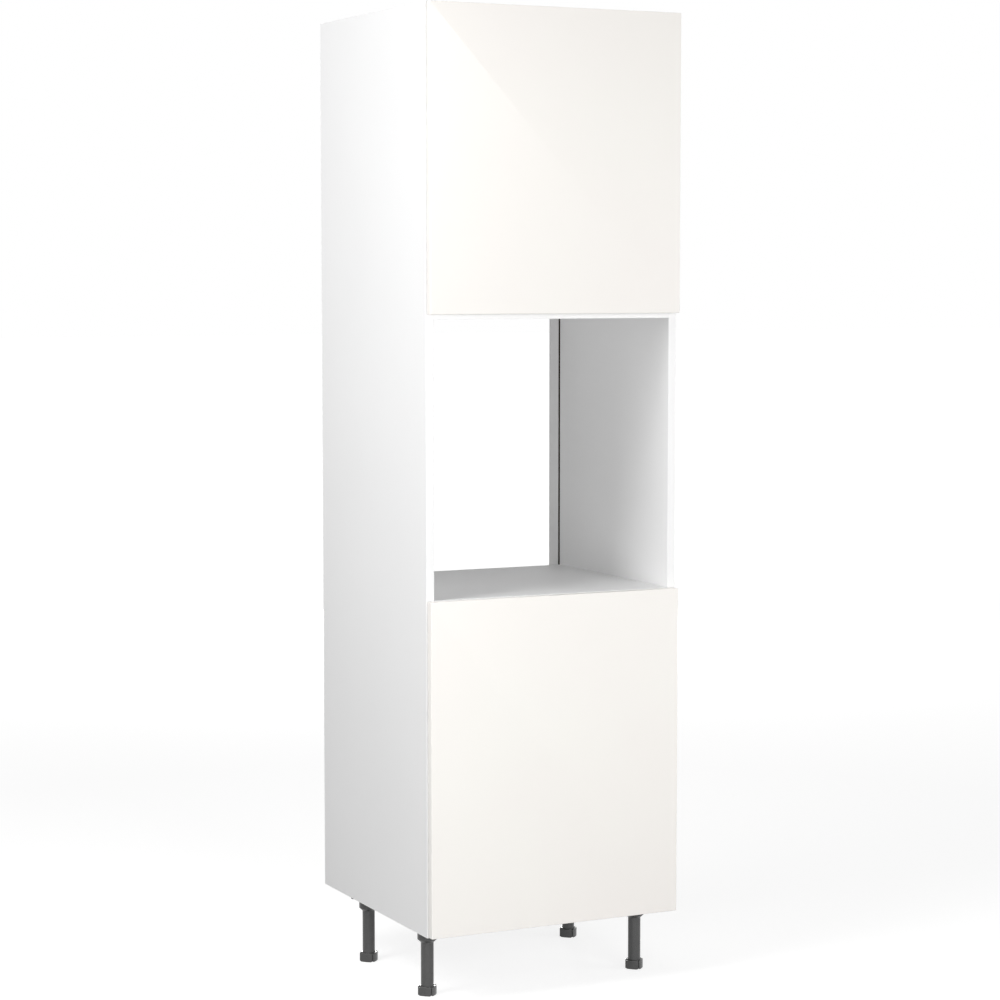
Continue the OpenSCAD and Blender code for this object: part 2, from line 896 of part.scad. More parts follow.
module at_leg_screws() {
    for (a = [leg_screw_angle, 180 - leg_screw_angle, 180 + leg_screw_angle, -leg_screw_angle])
        rotate([0, 0, a])
            translate([leg_screw_reach, 0, 0])
                rotate([0, 0, -a])
                    children();
}

// A socket: flange, collar with a tapered end, and the flange's lug. The lugs of the rear
// legs lie under the side panels and those of the front legs point to the front corners
module leg_socket(i) {
    bore_r = tube_r + fit;
    flange_z = base_z - flange_t;
    color(leg_black)
        at_leg(i)
            difference() {
                union() {
                    rotate_extrude()
                        polygon([
                            [0, base_z], [flange_r, base_z], [flange_r, flange_z], [collar_r, flange_z],
                            [collar_r, collar_z], [tube_r + lip_w, collar_z - taper_h],
                            [bore_r, collar_z - taper_h], [bore_r, flange_z], [0, flange_z]
                        ]);
                    rotate([0, 0, lug_angles[i]])
                        translate([collar_r, -lug_w / 2, flange_z])
                            cube([lug_reach - collar_r, lug_w, flange_t]);
                }
                at_leg_screws()
                    translate([0, 0, flange_z - eps])
                        cylinder(r = leg_screw_r + fit, h = flange_t + 2 * eps);
            }
}

module leg_tube(i) {
    color(leg_black)
        at_leg(i)
            difference() {
                translate([0, 0, tube_bottom])
                    cylinder(r = tube_r, h = tube_top - tube_bottom);
                translate([0, 0, tube_bottom - eps])
                    cylinder(r = tube_r - tube_wall, h = tube_top - tube_bottom + 2 * eps);
            }
}

// Face of a pad, seen from outside: a rectangle with round corners
module pad_face() {
    x = pad_w / 2 - pad_corner_r;
    y = foot_h - pad_corner_r;
    polygon([
        for (corner = [[x, y, 0], [-x, y, 90], [-x, pad_corner_r, 180], [x, pad_corner_r, 270]])
            for (a = [0 : pad_corner_step : 90]) [
                corner[0] + pad_corner_r * cos(corner[2] + a),
                corner[1] + pad_corner_r * sin(corner[2] + a)
            ]
    ]);
}

// A foot: four crowned pads round a hub, turned to the diagonals, with slots between them
module foot(i) {
    color(leg_black)
        at_leg(i)
            difference() {
                union() {
                    cylinder(r = hub_r, h = foot_h);
                    for (a = [45 : 90 : 315])
                        rotate([0, 0, a])
                            intersection() {
                                rotate([90, 0, 90])
                                    linear_extrude(foot_w / 2)
                                        pad_face();
                                translate([foot_w / 2 - pad_crown_r, 0, -eps])
                                    cylinder(r = pad_crown_r, h = foot_h + 2 * eps, $fn = 128);
                            }
                }
                for (a = [0 : 90 : 270])
                    rotate([0, 0, a])
                        translate([hub_r, -pad_slot / 2, -eps])
                            cube([foot_w / 2, pad_slot, foot_h + 2 * eps]);
                translate([0, 0, recess_z])
                    cylinder(r = tube_r + slack, h = foot_h - recess_z + eps);
                translate([0, 0, spindle_z])
                    cylinder(r = spindle_r + fit, h = foot_h);
            }
}

// A threaded spindle, fixed in the foot and screwed up into the nut in the tube
module spindle(i) {
    turns = floor((spindle_top - thread_z) / thread_pitch);
    color(pin_steel)
        at_leg(i)
            rotate_extrude()
                polygon(concat(
                    [[0, spindle_z + fit], [spindle_r, spindle_z + fit], [spindle_r, thread_z]],
                    [for (k = [0 : turns - 1], crest = [0, 1]) [
                        spindle_r - thread_depth * (1 - crest),
                        thread_z + thread_pitch * (k + (crest + 1) / 2)
                    ]],
                    [[0, thread_z + thread_pitch * turns]]
                ));
}

module spindle_nuts() {
    color(leg_black)
        for (i = [0 : 3])
            at_leg(i)
                difference() {
                    translate([0, 0, nut_z])
                        cylinder(r = tube_r - tube_wall - fit, h = nut_h);
                    translate([0, 0, nut_z - eps])
                        cylinder(r = spindle_r + run_fit, h = nut_h + 2 * eps);
                }
}

module leg_socket_screws() {
    head_r = 2 * leg_screw_r;
    color(pin_steel)
        for (i = [0 : 3])
            at_leg(i)
                at_leg_screws()
                    translate([0, 0, base_z - flange_t]) {
                        translate([0, 0, -screw_head_h])
                            cylinder(r = head_r, h = screw_head_h);
                        cylinder(r = leg_screw_r, h = flange_t + leg_screw_l);
                    }
}

left_side_panel();
right_side_panel();
side_edge_bands();
top_panel();
base_panel();
oven_shelf();
over_oven_shelf();
shelf_edge_bands();
upper_back_panel();
lower_back_panel();
wall_fixing_rail();
upper_adjustable_shelf();
lower_adjustable_shelf();
upper_shelf_pins();
lower_shelf_pins();
cam_locks();
cam_bolts();
cam_caps();
dowels();
upper_door();
lower_door();
upper_door_bumpers();
lower_door_bumpers();
hinge_plates();
hinge_arms();
hinge_arm_pins();
hinge_plate_screws();
hinge_adjusters();
upper_hinge_links();
lower_hinge_links();
upper_hinge_cups();
lower_hinge_cups();
upper_cup_pins();
lower_cup_pins();
upper_cup_screws();
lower_cup_screws();
leg_socket(0);  // front_left_leg_socket
leg_socket(1);  // front_right_leg_socket
leg_socket(2);  // rear_left_leg_socket
leg_socket(3);  // rear_right_leg_socket
leg_tube(0);  // front_left_leg_tube
leg_tube(1);  // front_right_leg_tube
leg_tube(2);  // rear_left_leg_tube
leg_tube(3);  // rear_right_leg_tube
foot(0);  // front_left_foot
foot(1);  // front_right_foot
foot(2);  // rear_left_foot
foot(3);  // rear_right_foot
spindle(0);  // front_left_spindle
spindle(1);  // front_right_spindle
spindle(2);  // rear_left_spindle
spindle(3);  // rear_right_spindle
spindle_nuts();
leg_socket_screws();
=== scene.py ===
"""Looks of a tall oven housing unit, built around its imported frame.

Lengths are in metres. The origin lies on the floor under the middle of the unit, X runs to the right
seen from the front, Y runs to the back and Z up. The boards stay as the frame holds them and get their
finishes here. Doors, edge bands, caps, bumpers, screws and legs are modelled again in finer shape, each
from a formula over whole arrays.
"""
import sys
import logging
import math
from dataclasses import dataclass, fields, replace
from enum import Enum
from functools import cache

import bmesh
import bpy
import numpy as np
from mathutils import Matrix, Vector


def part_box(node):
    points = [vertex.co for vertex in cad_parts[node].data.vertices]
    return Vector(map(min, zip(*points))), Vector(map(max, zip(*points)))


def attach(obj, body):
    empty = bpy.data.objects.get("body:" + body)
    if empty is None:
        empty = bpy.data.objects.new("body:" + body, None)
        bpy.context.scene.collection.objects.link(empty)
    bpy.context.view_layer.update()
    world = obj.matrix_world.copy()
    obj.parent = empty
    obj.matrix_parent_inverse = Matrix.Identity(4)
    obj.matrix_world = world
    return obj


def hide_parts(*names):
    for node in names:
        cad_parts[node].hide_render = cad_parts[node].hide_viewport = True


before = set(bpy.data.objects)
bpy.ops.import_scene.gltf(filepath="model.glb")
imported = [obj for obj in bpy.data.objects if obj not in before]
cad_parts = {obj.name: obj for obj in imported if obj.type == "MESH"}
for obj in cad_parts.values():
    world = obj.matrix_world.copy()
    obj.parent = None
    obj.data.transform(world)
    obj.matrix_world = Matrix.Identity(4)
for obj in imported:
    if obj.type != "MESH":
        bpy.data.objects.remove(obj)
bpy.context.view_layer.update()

Point = tuple[float, float, float]
Colour = tuple[float, float, float]
Socket = bpy.types.NodeSocket

LOG = logging.getLogger("oven_housing")
MM = 0.001

DOORS = ("upper", "lower")
CORNERS = ("front_left", "front_right", "rear_left", "rear_right")
SIDE_PANELS = ("left_side_panel", "right_side_panel")
FIXED_PANELS = ("base_panel", "oven_shelf", "over_oven_shelf", "top_panel")

# Points round a screw or a cap, round the parts of a leg, and round a bumper or a spindle
ROUND_POINTS, LEG_POINTS, SMALL_POINTS = 48, 64, 32
# Points of a quarter arc on a slab, and degrees between the points of a bore's rim
QUARTER_POINTS = 6
RIM_STEP = 7.5
# Points closer than this are merged, and edges past this angle are shaded sharp
MERGE_GAP = 0.002 * MM
SHARP_ANGLE = math.radians(38)
# Most of a noise texture lies between these values
NOISE_LOW, NOISE_HIGH = 0.3, 0.7


class Axis(Enum):
    """An axis of the shared frame, by its place in a point."""

    X = 0
    Y = 1
    Z = 2


class Core(Enum):
    """What a board is made of between its faces."""

    CHIPBOARD = "chipboard"
    FIBREBOARD = "fibreboard"


# ---- Meshes from arrays ----


@dataclass(frozen=True)
class Skin:
    """A stretch of surface as whole arrays.

    Attributes:
        points: places, an array (n, 3) in metres.
        corners: point numbers of all the faces, one face after the other.
        sizes: number of corners of each face.
        smooth: whether each face is shaded smooth.
        finish: number of the finish that each face takes.
    """

    points: np.ndarray
    corners: np.ndarray
    sizes: np.ndarray
    smooth: np.ndarray
    finish: np.ndarray

    @staticmethod
    def grid(points: np.ndarray, smooth: bool = True, finish: int = 0) -> "Skin":
        """Covers a grid of points with quads. Its last column joins the first one.

        Args:
            points: array (rows, columns, 3).
            smooth: whether the quads are shaded smooth.
            finish: number of the finish.

        Returns:
            The skin, with a quad between each point and its next row and column.
        """
        rows, columns = points.shape[:2]
        row, column = np.meshgrid(np.arange(rows - 1), np.arange(columns), indexing="ij")
        beside = (column + 1) % columns
        quads = np.stack(
            [row * columns + column, row * columns + beside,
             (row + 1) * columns + beside, (row + 1) * columns + column], axis=-1
        ).reshape(-1, 4)
        count = len(quads)
        return Skin(
            points.reshape(-1, 3), quads.ravel(), np.full(count, 4),
            np.full(count, smooth), np.full(count, finish)
        )

    @staticmethod
    def polygon(points: np.ndarray, finish: int = 0) -> "Skin":
        """Returns one flat face through the points (n, 3), taken in order."""
        count = len(points)
        return Skin(points, np.arange(count), np.array([count]), np.array([False]), np.array([finish]))

    @staticmethod
    def joined(skins: list["Skin"]) -> "Skin":
        """Puts skins together.

        Args:
            skins: the skins.

        Returns:
            One skin, with each one's point numbers raised by the points before it.
        """
        starts = np.cumsum([0] + [len(skin.points) for skin in skins[:-1]])
        raised = [replace(skin, corners=skin.corners + start) for skin, start in zip(skins, starts)]
        return Skin(*(
            np.concatenate([getattr(skin, field.name) for skin in raised]) for field in fields(Skin)
        ))

    def moved(self, move: Matrix) -> "Skin":
        """Returns the skin carried by a matrix: each point times its turn, plus its shift."""
        turn, shift = np.array(move.to_3x3()), np.array(move.to_translation())
        return replace(self, points=self.points @ turn.T + shift)


def full_turn(steps: int) -> np.ndarray:
    """Returns angles at even steps round a full turn, in radians."""
    return np.linspace(0, 2 * np.pi, steps, endpoint=False)


def ringed(radius: np.ndarray, height: np.ndarray, angle: np.ndarray) -> Skin:
    """Returns the skin whose point at (row, angle) is (radius cos angle, radius sin angle, height)."""
    rings = np.broadcast_arrays(radius * np.cos(angle), radius * np.sin(angle), height)
    return Skin.grid(np.stack(rings, axis=-1))


def turned(shape: np.ndarray, steps: int = ROUND_POINTS) -> Skin:
    """Returns a profile (n, 2) of radius and height, turned round the Z axis."""
    return ringed(shape[:, :1], shape[:, 1:], full_turn(steps))


def arc(centre: tuple[float, float], radius: float, start: float, end: float, steps: int = 5) -> np.ndarray:
    """Returns points (steps, 2) of an arc between two angles in degrees: centre + radius (cos, sin)."""
    angle = np.radians(np.linspace(start, end, steps))
    return np.stack([centre[0] + radius * np.cos(angle), centre[1] + radius * np.sin(angle)], axis=-1)


def profile(*stretches: np.ndarray | tuple[float, float]) -> np.ndarray:
    """Returns single points and arcs strung together as one array (n, 2)."""
    return np.concatenate([np.atleast_2d(np.asarray(stretch, float)) for stretch in stretches])


def standing(at: Point, out: Point) -> Matrix:
    """Returns the move that puts the origin at a point and turns +Z to the way out of a surface."""
    turn = Vector(out).to_track_quat("Z", "Y").to_matrix().to_4x4()
    return Matrix.Translation(at) @ turn


def spun(degrees: float) -> Matrix:
    """Returns the turn round the Z axis by an angle in degrees."""
    return Matrix.Rotation(math.radians(degrees), 4, "Z")


@dataclass(frozen=True)
class Slab:
    """A flat board with softened arrises, which stands in the XZ plane and faces -Y.

    Its surface is a profile carried round a rectangle with rounded corners. A profile point has an inset
    from the rectangle and a depth behind the front. The ring at an inset keeps the centres of the corner
    arcs and shortens their radius by the inset.

    Attributes:
        low: lowest corner.
        high: highest corner.
        front_r: radius of the front arrises.
        back_r: radius of the back arrises.
        corner_r: radius of the corners, seen from the front.
        bores: centre X and centre Z of each bore in the back, from the bottom up.
        bore_r: radius of the bores.
        bore_l: depth of the bores.
    """

    low: Vector
    high: Vector
    front_r: float
    back_r: float
    corner_r: float
    bores: tuple[tuple[float, float], ...] = ()
    bore_r: float = 0.0
    bore_l: float = 0.0

    def rings(self, cut: float) -> np.ndarray:
        """Works out the rings from the front to the back.

        Args:
            cut: X of the line that splits the back face in two.

        Returns:
            Array (rings, points, 3). Point 0 is on the line at the bottom, the middle one at the top.
        """
        thick = self.high.y - self.low.y
        quarter = np.radians(np.linspace(0, 90, QUARTER_POINTS))
        inwards, behind = 1 - np.sin(quarter), 1 - np.cos(quarter)
        front = np.stack([self.front_r * inwards, self.front_r * behind], axis=-1)
        back = np.stack([self.back_r * inwards, thick - self.back_r * behind], axis=-1)
        inset, depth = np.concatenate([front, back[::-1]]).T
        reach = self.corner_r - inset[:, None]
        left, right = self.low.x + self.corner_r, self.high.x - self.corner_r
        bottom, top = self.low.z + self.corner_r, self.high.z - self.corner_r
        angle = np.concatenate([
            [-np.pi / 2], quarter - np.pi / 2, quarter, [np.pi / 2], quarter + np.pi / 2, quarter + np.pi
        ])
        counts = [1, QUARTER_POINTS, QUARTER_POINTS] * 2
        x = np.repeat([cut, right, right, cut, left, left], counts) + reach * np.cos(angle)
        z = np.repeat([bottom, bottom, top, top, top, bottom], counts) + reach * np.sin(angle)
        y = np.broadcast_to(self.low.y + depth[:, None], x.shape)
        return np.stack([x, y, z], axis=-1)

    def rim(self, bore: tuple[float, float], start: float, end: float) -> np.ndarray:
        """Returns points (n, 3) of a stretch of a bore's rim, from one angle in degrees to another."""
        x, z = arc(bore, self.bore_r, start, end, round(abs(end - start) / RIM_STEP) + 1).T
        return np.stack([x, np.full(len(x), self.high.y), z], axis=-1)

    def skin(self, core: int = 0) -> Skin:
        """Builds the closed surface.

        Args:
            core: number of the finish inside the bores.

        Returns:
            Front face, rim, back face in two halves that meet on the line through the bores, and bores.
        """
        cut = self.bores[0][0] if self.bores else (self.low.x + self.high.x) / 2
        rings = self.rings(cut)
        back = rings[-1]
        half = len(back) // 2
        right = [back[:half + 1], *(self.rim(bore, 90, -90) for bore in reversed(self.bores))]
        left = [back[half:], back[:1], *(self.rim(bore, -90, -270) for bore in self.bores)]
        skins = [Skin.grid(rings), Skin.polygon(rings[0])]
        skins += [Skin.polygon(np.concatenate(part)) for part in (right, left)]
        for bore in self.bores:
            rim = self.rim(bore, 90, -270)[:-1]
            floor = rim - (0, self.bore_l, 0)
            skins += [Skin.grid(np.stack([rim, floor]), finish=core), Skin.polygon(floor, core)]
        return Skin.joined(skins)


@dataclass(frozen=True)
class Screw:
    """A screw with a rounded head and a cross recess, whose head stands on Z = 0.

    The head's top is a height over polar coordinates: a flat dome minus the recess, which is deep within
    its middle and along the four arms, where the sine of twice the angle is near nought. Rings of the
    edge, the shank and the point close the surface.

    Attributes:
        head_r: radius of the head.
        head_h: height of the head.
        shank_r: radius of the shank.
        shank_l: length of the shank below the head.
        recess: reach of the recess's arms, as a share of the head's radius.
        recess_depth: depth of the recess, as a share of the head's height.
        slope: how far the head's top falls to its edge, as a share of its height.
        flank: how steeply the flanks of an arm rise beside it.
        middle: radius of the recess's deep middle, as a share of its reach.
        rings: rings of points over the recess, as shares of its reach.
    """

    head_r: float
    head_h: float
    shank_r: float
    shank_l: float
    recess: float = 0.6
    recess_depth: float = 0.8
    slope: float = 0.35
    flank: float = 3.2
    middle: float = 0.36
    rings: tuple[float, ...] = (0.0, 0.18, 0.36, 0.5, 0.75, 0.94, 1.0)

    def skin(self) -> Skin:
        """Works out the surface from the middle of the head to the point.

        Returns:
            The closed skin.
        """
        angle = full_turn(ROUND_POINTS)
        reach = self.recess * self.head_r
        outside = np.linspace(1.08 * reach, 0.93 * self.head_r, 3)
        radius = np.concatenate([reach * np.array(self.rings), outside])[:, None]
        dome = self.head_h * (1 - self.slope * (radius / self.head_r) ** 2)
        arm = np.clip(self.flank * (0.5 - np.abs(np.sin(2 * angle))), 0, 1) * (radius < 0.97 * reach)
        middle = np.clip(1.8 - radius / (self.middle * reach), 0, 1)
        depth = self.recess_depth * self.head_h * np.maximum(arm * (1 - 0.5 * radius / reach), middle)
        below = profile(
            (0.985 * self.head_r, 0.5 * self.head_h), (self.head_r, 0.3 * self.head_h),
            (self.head_r, 0), (self.shank_r, 0),
            (self.shank_r, 1.5 * self.shank_r - self.shank_l), (0, -self.shank_l)
        )
        rings_r = np.concatenate([radius, below[:, :1]])
        rings_z = np.concatenate([dome - depth, below[:, 1:] + 0 * angle])
        return ringed(rings_r, rings_z, angle)


# ---- Finishes ----


def linear(red: int, green: int, blue: int) -> Colour:
    """Returns the linear values of a display colour given from 0 to 255."""
    share = np.array([red, green, blue]) / 255
    return tuple(np.where(share < 0.04045, share / 12.92, ((share + 0.055) / 1.055) ** 2.4).tolist())


# Dark and light of each core, chips per metre near the faces and in the middle, and the depths between
# which the chips change from fine to coarse
CORE_TONES = {
    Core.CHIPBOARD: (linear(104, 76, 48), linear(196, 164, 120)),
    Core.FIBREBOARD: (linear(128, 99, 70), linear(160, 128, 94)),
}
CHIP_SCALES = (1500.0, 420.0)
CHIP_CHANGE = (2.0 * MM, 4.5 * MM)
# Bare core of a groove's walls, darkened with painted shade in place of the shadow in the narrow groove
GROOVE_CORE_PAINTED_SHADE = linear(52, 42, 34)


class Nodes:
    """A node tree under construction, with short calls for the nodes that finishes and studio share."""

    def __init__(self, tree: bpy.types.NodeTree) -> None:
        """Starts with an empty tree."""
        self.tree = tree
        self.tree.nodes.clear()

    def add(self, kind: str, inputs: dict | None = None, **settings: object) -> bpy.types.Node:
        """Adds a node.

        Args:
            kind: the node's type.
            inputs: value or socket for each input, by name or number.
            settings: the node's own settings.

        Returns:
            The node.
        """
        node = self.tree.nodes.new(kind)
        for key, value in settings.items():
            setattr(node, key, value)
        for key, value in (inputs or {}).items():
            if isinstance(value, Socket):
                self.tree.links.new(value, node.inputs[key])
            else:
                node.inputs[key].default_value = value
        return node

    def math(self, operation: str, *values: Socket | float) -> Socket:
        """Returns the result of a sum or function of up to three values."""
        return self.add("ShaderNodeMath", dict(enumerate(values)), operation=operation).outputs[0]

    def spread(self, value: Socket, to_low: float, to_high: float,
               low: float = NOISE_LOW, high: float = NOISE_HIGH) -> Socket:
        """Returns a value mapped to the first range from the second one, and kept within it."""
        inputs = {0: value, 1: low, 2: high, 3: to_low, 4: to_high}
        return self.add("ShaderNodeMapRange", inputs).outputs[0]

    def background(self) -> Socket:
        """Tells the rays that show the background: from the camera, a reflection or through glass.

        Returns:
            The socket, 1 for such a ray and 0 for any other.
        """
        rays = self.add("ShaderNodeLightPath").outputs
        seen = self.math("MAXIMUM", rays["Is Camera Ray"], rays["Is Glossy Ray"])
        return self.math("MAXIMUM", seen, rays["Is Transmission Ray"])


class Recipe(Nodes):
    """A material under construction."""

    def __init__(self, name: str) -> None:
        """Starts a material.

        Args:
            name: the material's name.
        """
        self.material = bpy.data.materials.new(name)
        self.material.use_nodes = True
        super().__init__(self.material.node_tree)
        self.place = self.add("ShaderNodeTexCoord").outputs["Object"]

    def stretched(self, scale: Point) -> Socket:
        """Returns the place on the object, scaled along each axis."""
        return self.add("ShaderNodeMapping", {"Vector": self.place, "Scale": scale}).outputs[0]

    def noise(self, scale: float, detail: float = 2.0, place: Socket | None = None) -> Socket:
        """Returns a noise from 0 to 1, at a scale per metre."""
        inputs = {"Vector": place or self.place, "Scale": scale, "Detail": detail}
        return self.add("ShaderNodeTexNoise", inputs).outputs[0]

    def along(self, axis: Axis) -> Socket:
        """Returns the coordinate along an axis."""
        return self.add("ShaderNodeSeparateXYZ", {0: self.place}).outputs[axis.value]

    def distance(self, axis: Axis, at: float) -> Socket:
        """Returns the distance along an axis from a place on it."""
        return self.math("ABSOLUTE", self.math("SUBTRACT", self.along(axis), at))

    def blend(self, share: Socket, *colours: Socket | Colour) -> Socket:
        """Returns the first of two colours where the share is 0 and the second one where it is 1."""
        first, second = (part if isinstance(part, Socket) else (*part, 1.0) for part in colours)
        return self.add("ShaderNodeMix", {0: share, 6: first, 7: second}, data_type="RGBA").outputs[2]

    def relief(self, height: Socket, depth: float) -> Socket:
        """Returns the normal that a relief of that depth in metres gives."""
        inputs = {"Height": height, "Distance": depth, "Strength": 1.0}
        return self.add("ShaderNodeBump", inputs).outputs[0]

    def finished(self, inputs: dict) -> bpy.types.Material:
        """Adds the shader and the output.

        Args:
            inputs: value or socket for each of the shader's inputs.

        Returns:
            The finished material.
        """
        shader = self.add("ShaderNodeBsdfPrincipled", inputs)
        self.add("ShaderNodeOutputMaterial", {"Surface": shader.outputs[0]})
        return self.material


class Finish:
    """A surface finish, whose material is made once and then shared."""

    name: str
    slot: str

    def recipe(self) -> bpy.types.Material:
        """Makes the material; each finish has its own way."""
        raise NotImplementedError

    @cache
    def material(self) -> bpy.types.Material:
        """Returns the finish's own material, made at its first use and never one of the frame's."""
        return self.recipe()


def core_colour(recipe: Recipe, core: Core, depth: Socket) -> Socket:
    """Colours the inside of a board.

    Chipboard shows light and dark chips as cells, coarse in the middle and fine near the faces.
    Fibreboard is an even brown with a fine fleck.

    Args:
        recipe: the material under construction.
        core: what the board is made of.
        depth: how deep a point lies under the nearer face, in metres.

    Returns:
        The colour socket.
    """
    tones = CORE_TONES[core]
    if core is Core.FIBREBOARD:
        return recipe.blend(recipe.noise(2600, 3), *tones)
    fine, coarse = (
        recipe.add("ShaderNodeTexVoronoi", {"Vector": recipe.place, "Scale": scale}).outputs["Color"]
        for scale in CHIP_SCALES
    )
    chips = recipe.blend(recipe.spread(depth, 0.0, 1.0, *CHIP_CHANGE), fine, coarse)
    grey = recipe.add("ShaderNodeRGBToBW", {0: chips}).outputs[0]
    return recipe.blend(grey, *tones)


@dataclass(frozen=True)
class FacedBoard(Finish):
    """A board with white faces, bare on its cut edges and in its bores.

    A point counts as faced where it lies within a hair of one of the two face planes, or of the plane of
    a banded front edge. The face has a fine pearl of about half a millimetre and a faint change of tone.

    Attributes:
        name: the material's name.
        slot: the record's material slot; not used.
        axis: the way through the board.
        low: place of the first face along that axis.
        high: place of the second face.
        front: place of a banded front edge along Y, or None.
        core: what lies between the faces.
        groove: place along Y of the middle of a groove, whose walls show a painted shade, or None.
        groove_half: half the width of that groove.
        white: colour of the faces.
        rough: roughness of the faces.
        cut_rough: roughness of the bare edges.
        gloss: strength of the matt faces' gloss, where 0.5 is that of plain plastic.
        hair: distances from a face plane within which a point counts as faced, and past which it doesn't.
        relief: height of the chips on the bare edges.
        pearl: height of the faces' pearl, as a share of the chips'.
    """

    name: str
    slot: str
    axis: Axis
    low: float
    high: float
    front: float | None = None
    core: Core = Core.CHIPBOARD
    groove: float | None = None
    groove_half: float = 4.5 * MM
    white: Colour = linear(246, 246, 246)
    rough: float = 0.50
    cut_rough: float = 0.85
    gloss: float = 0.1
    hair: tuple[float, float] = (0.10 * MM, 0.16 * MM)
    relief: float = 0.3 * MM
    pearl: float = 0.03

    def recipe(self) -> bpy.types.Material:
        """Makes the faced board's material.

        Returns:
            The material.
        """
        mix = Recipe(self.name)
        along = mix.along(self.axis)
        depth = mix.math("ABSOLUTE", mix.math(
            "MINIMUM", mix.math("SUBTRACT", along, self.low), mix.math("SUBTRACT", self.high, along)
        ))
        nearest = depth
        if self.front is not None:
            nearest = mix.math("MINIMUM", depth, mix.distance(Axis.Y, self.front))
        faced = mix.spread(nearest, 1.0, 0.0, *self.hair)
        tone = mix.spread(mix.noise(3.0, 3), 0.0, 1.0)
        white = mix.blend(tone, self.white, tuple(0.985 * part for part in self.white))
        cut = core_colour(mix, self.core, depth)
        if self.groove is not None:
            # Painted shade: the groove's walls take a dark core colour in place of the shadow that falls in
            # it
            inside = mix.math("LESS_THAN", mix.distance(Axis.Y, self.groove), self.groove_half)
            cut = mix.blend(inside, cut, GROOVE_CORE_PAINTED_SHADE)
        pearl = mix.math("MULTIPLY", mix.noise(2400, 2), mix.math("MULTIPLY", faced, self.pearl))
        chips = mix.math("MULTIPLY", mix.noise(900, 4), mix.math("SUBTRACT", 1.0, faced))
        sheen = mix.spread(mix.noise(160, 3), self.rough - 0.03, self.rough + 0.03)
        return mix.finished({
            "Base Color": mix.blend(faced, cut, white),
            "Roughness": mix.math("MAXIMUM", sheen, mix.spread(faced, self.cut_rough, 0.0, 0.0, 1.0)),
            "Normal": mix.relief(mix.math("ADD", pearl, chips), self.relief),
            "IOR": 1.5, "Specular IOR Level": self.gloss
        })


@dataclass(frozen=True)
class Lacquer(Finish):
    """Warm white satin lacquer on a door, with a faint orange peel of about a millimetre."""

    name: str = "satin_lacquer"
    slot: str = "door_lacquer"
    colour: Colour = linear(248, 246, 241)
    shade: Colour = linear(247, 243, 239)
    rough: float = 0.34
    peel: float = 0.006 * MM

    def recipe(self) -> bpy.types.Material:
        """Makes the lacquer's material.

        Returns:
            The material.
        """
        mix = Recipe(self.name)
        tone = mix.spread(mix.noise(2.2, 3), 0.0, 1.0)
        peel = mix.math("ADD", mix.noise(1100, 1), mix.math("MULTIPLY", mix.noise(260, 2), 1.6))
        return mix.finished({
            "Base Color": mix.blend(tone, self.colour, self.shade),
            "Roughness": mix.spread(mix.noise(90, 4), self.rough - 0.03, self.rough + 0.04, 0.25, 0.75),
            "Normal": mix.relief(peel, self.peel), "IOR": 1.5
        })


@dataclass(frozen=True)
class BareCore(Finish):
    """The fibreboard that shows where a door is bored."""

    name: str = "door_core"
    slot: str = "door_lacquer"
    fleck: float = 0.08 * MM

    def recipe(self) -> bpy.types.Material:
        """Makes the bare core's material.

        Returns:
            The material.
        """
        mix = Recipe(self.name)
        fleck = mix.noise(1800, 4)
        return mix.finished({
            "Base Color": core_colour(mix, Core.FIBREBOARD, fleck), "Roughness": 0.9,
            "Normal": mix.relief(fleck, self.fleck)
        })


@dataclass(frozen=True)
class Band(Finish):
    """White plastic edging, with the faint ripple that a trimming cutter leaves across its length."""

    name: str
    along: Axis
    slot: str = "edge_band"
    colour: Colour = linear(250, 250, 250)
    ripple: float = 0.9 * MM
    ripple_depth: float = 0.004 * MM

    def recipe(self) -> bpy.types.Material:
        """Makes the edging's material.

        Returns:
            The material.
        """
        mix = Recipe(self.name)
        phase = mix.math("MULTIPLY", mix.along(self.along), 2 * math.pi / self.ripple)
        wander = mix.math("MULTIPLY", mix.noise(25, 2), 8.0)
        wave = mix.math("SINE", mix.math("ADD", phase, wander))
        height = mix.math("ADD", mix.math("MULTIPLY", wave, 0.3), mix.noise(1500, 2))
        return mix.finished({
            "Base Color": mix.blend(mix.noise(8, 3), self.colour, tuple(0.98 * part for part in self.colour)),
            "Roughness": mix.spread(mix.noise(300, 3), 0.28, 0.36),
            "Normal": mix.relief(height, self.ripple_depth), "IOR": 1.5
        })


@dataclass(frozen=True)
class MouldedPlastic(Finish):
    """A moulded plastic with a fine spark-eroded grain and scuffs near the floor."""

    name: str
    slot: str
    colour: Colour
    worn: Colour
    rough: float = 0.28
    grain: float = 2600.0
    grain_depth: float = 0.01 * MM
    scuff_top: float = 9 * MM
    scuffs: Point = (240.0, 240.0, 900.0)

    def recipe(self) -> bpy.types.Material:
        """Makes the plastic's material.

        Returns:
            The material.
        """
        mix = Recipe(self.name)
        low = mix.spread(mix.along(Axis.Z), 1.0, 0.0, 0.0, self.scuff_top)
        streak = mix.spread(mix.noise(1.0, 4, mix.stretched(self.scuffs)), 0.0, 0.6, 0.56, 0.7)
        mottle = mix.spread(mix.noise(130, 4), 0.0, 0.06)
        wear = mix.math("MAXIMUM", mix.math("MULTIPLY", low, streak), mottle)
        grain = mix.noise(self.grain, 2)
        return mix.finished({
            "Base Color": mix.blend(wear, self.colour, self.worn),
            "Roughness": mix.spread(grain, self.rough - 0.05, self.rough + 0.08),
            "Normal": mix.relief(grain, self.grain_depth), "IOR": 1.5
        })


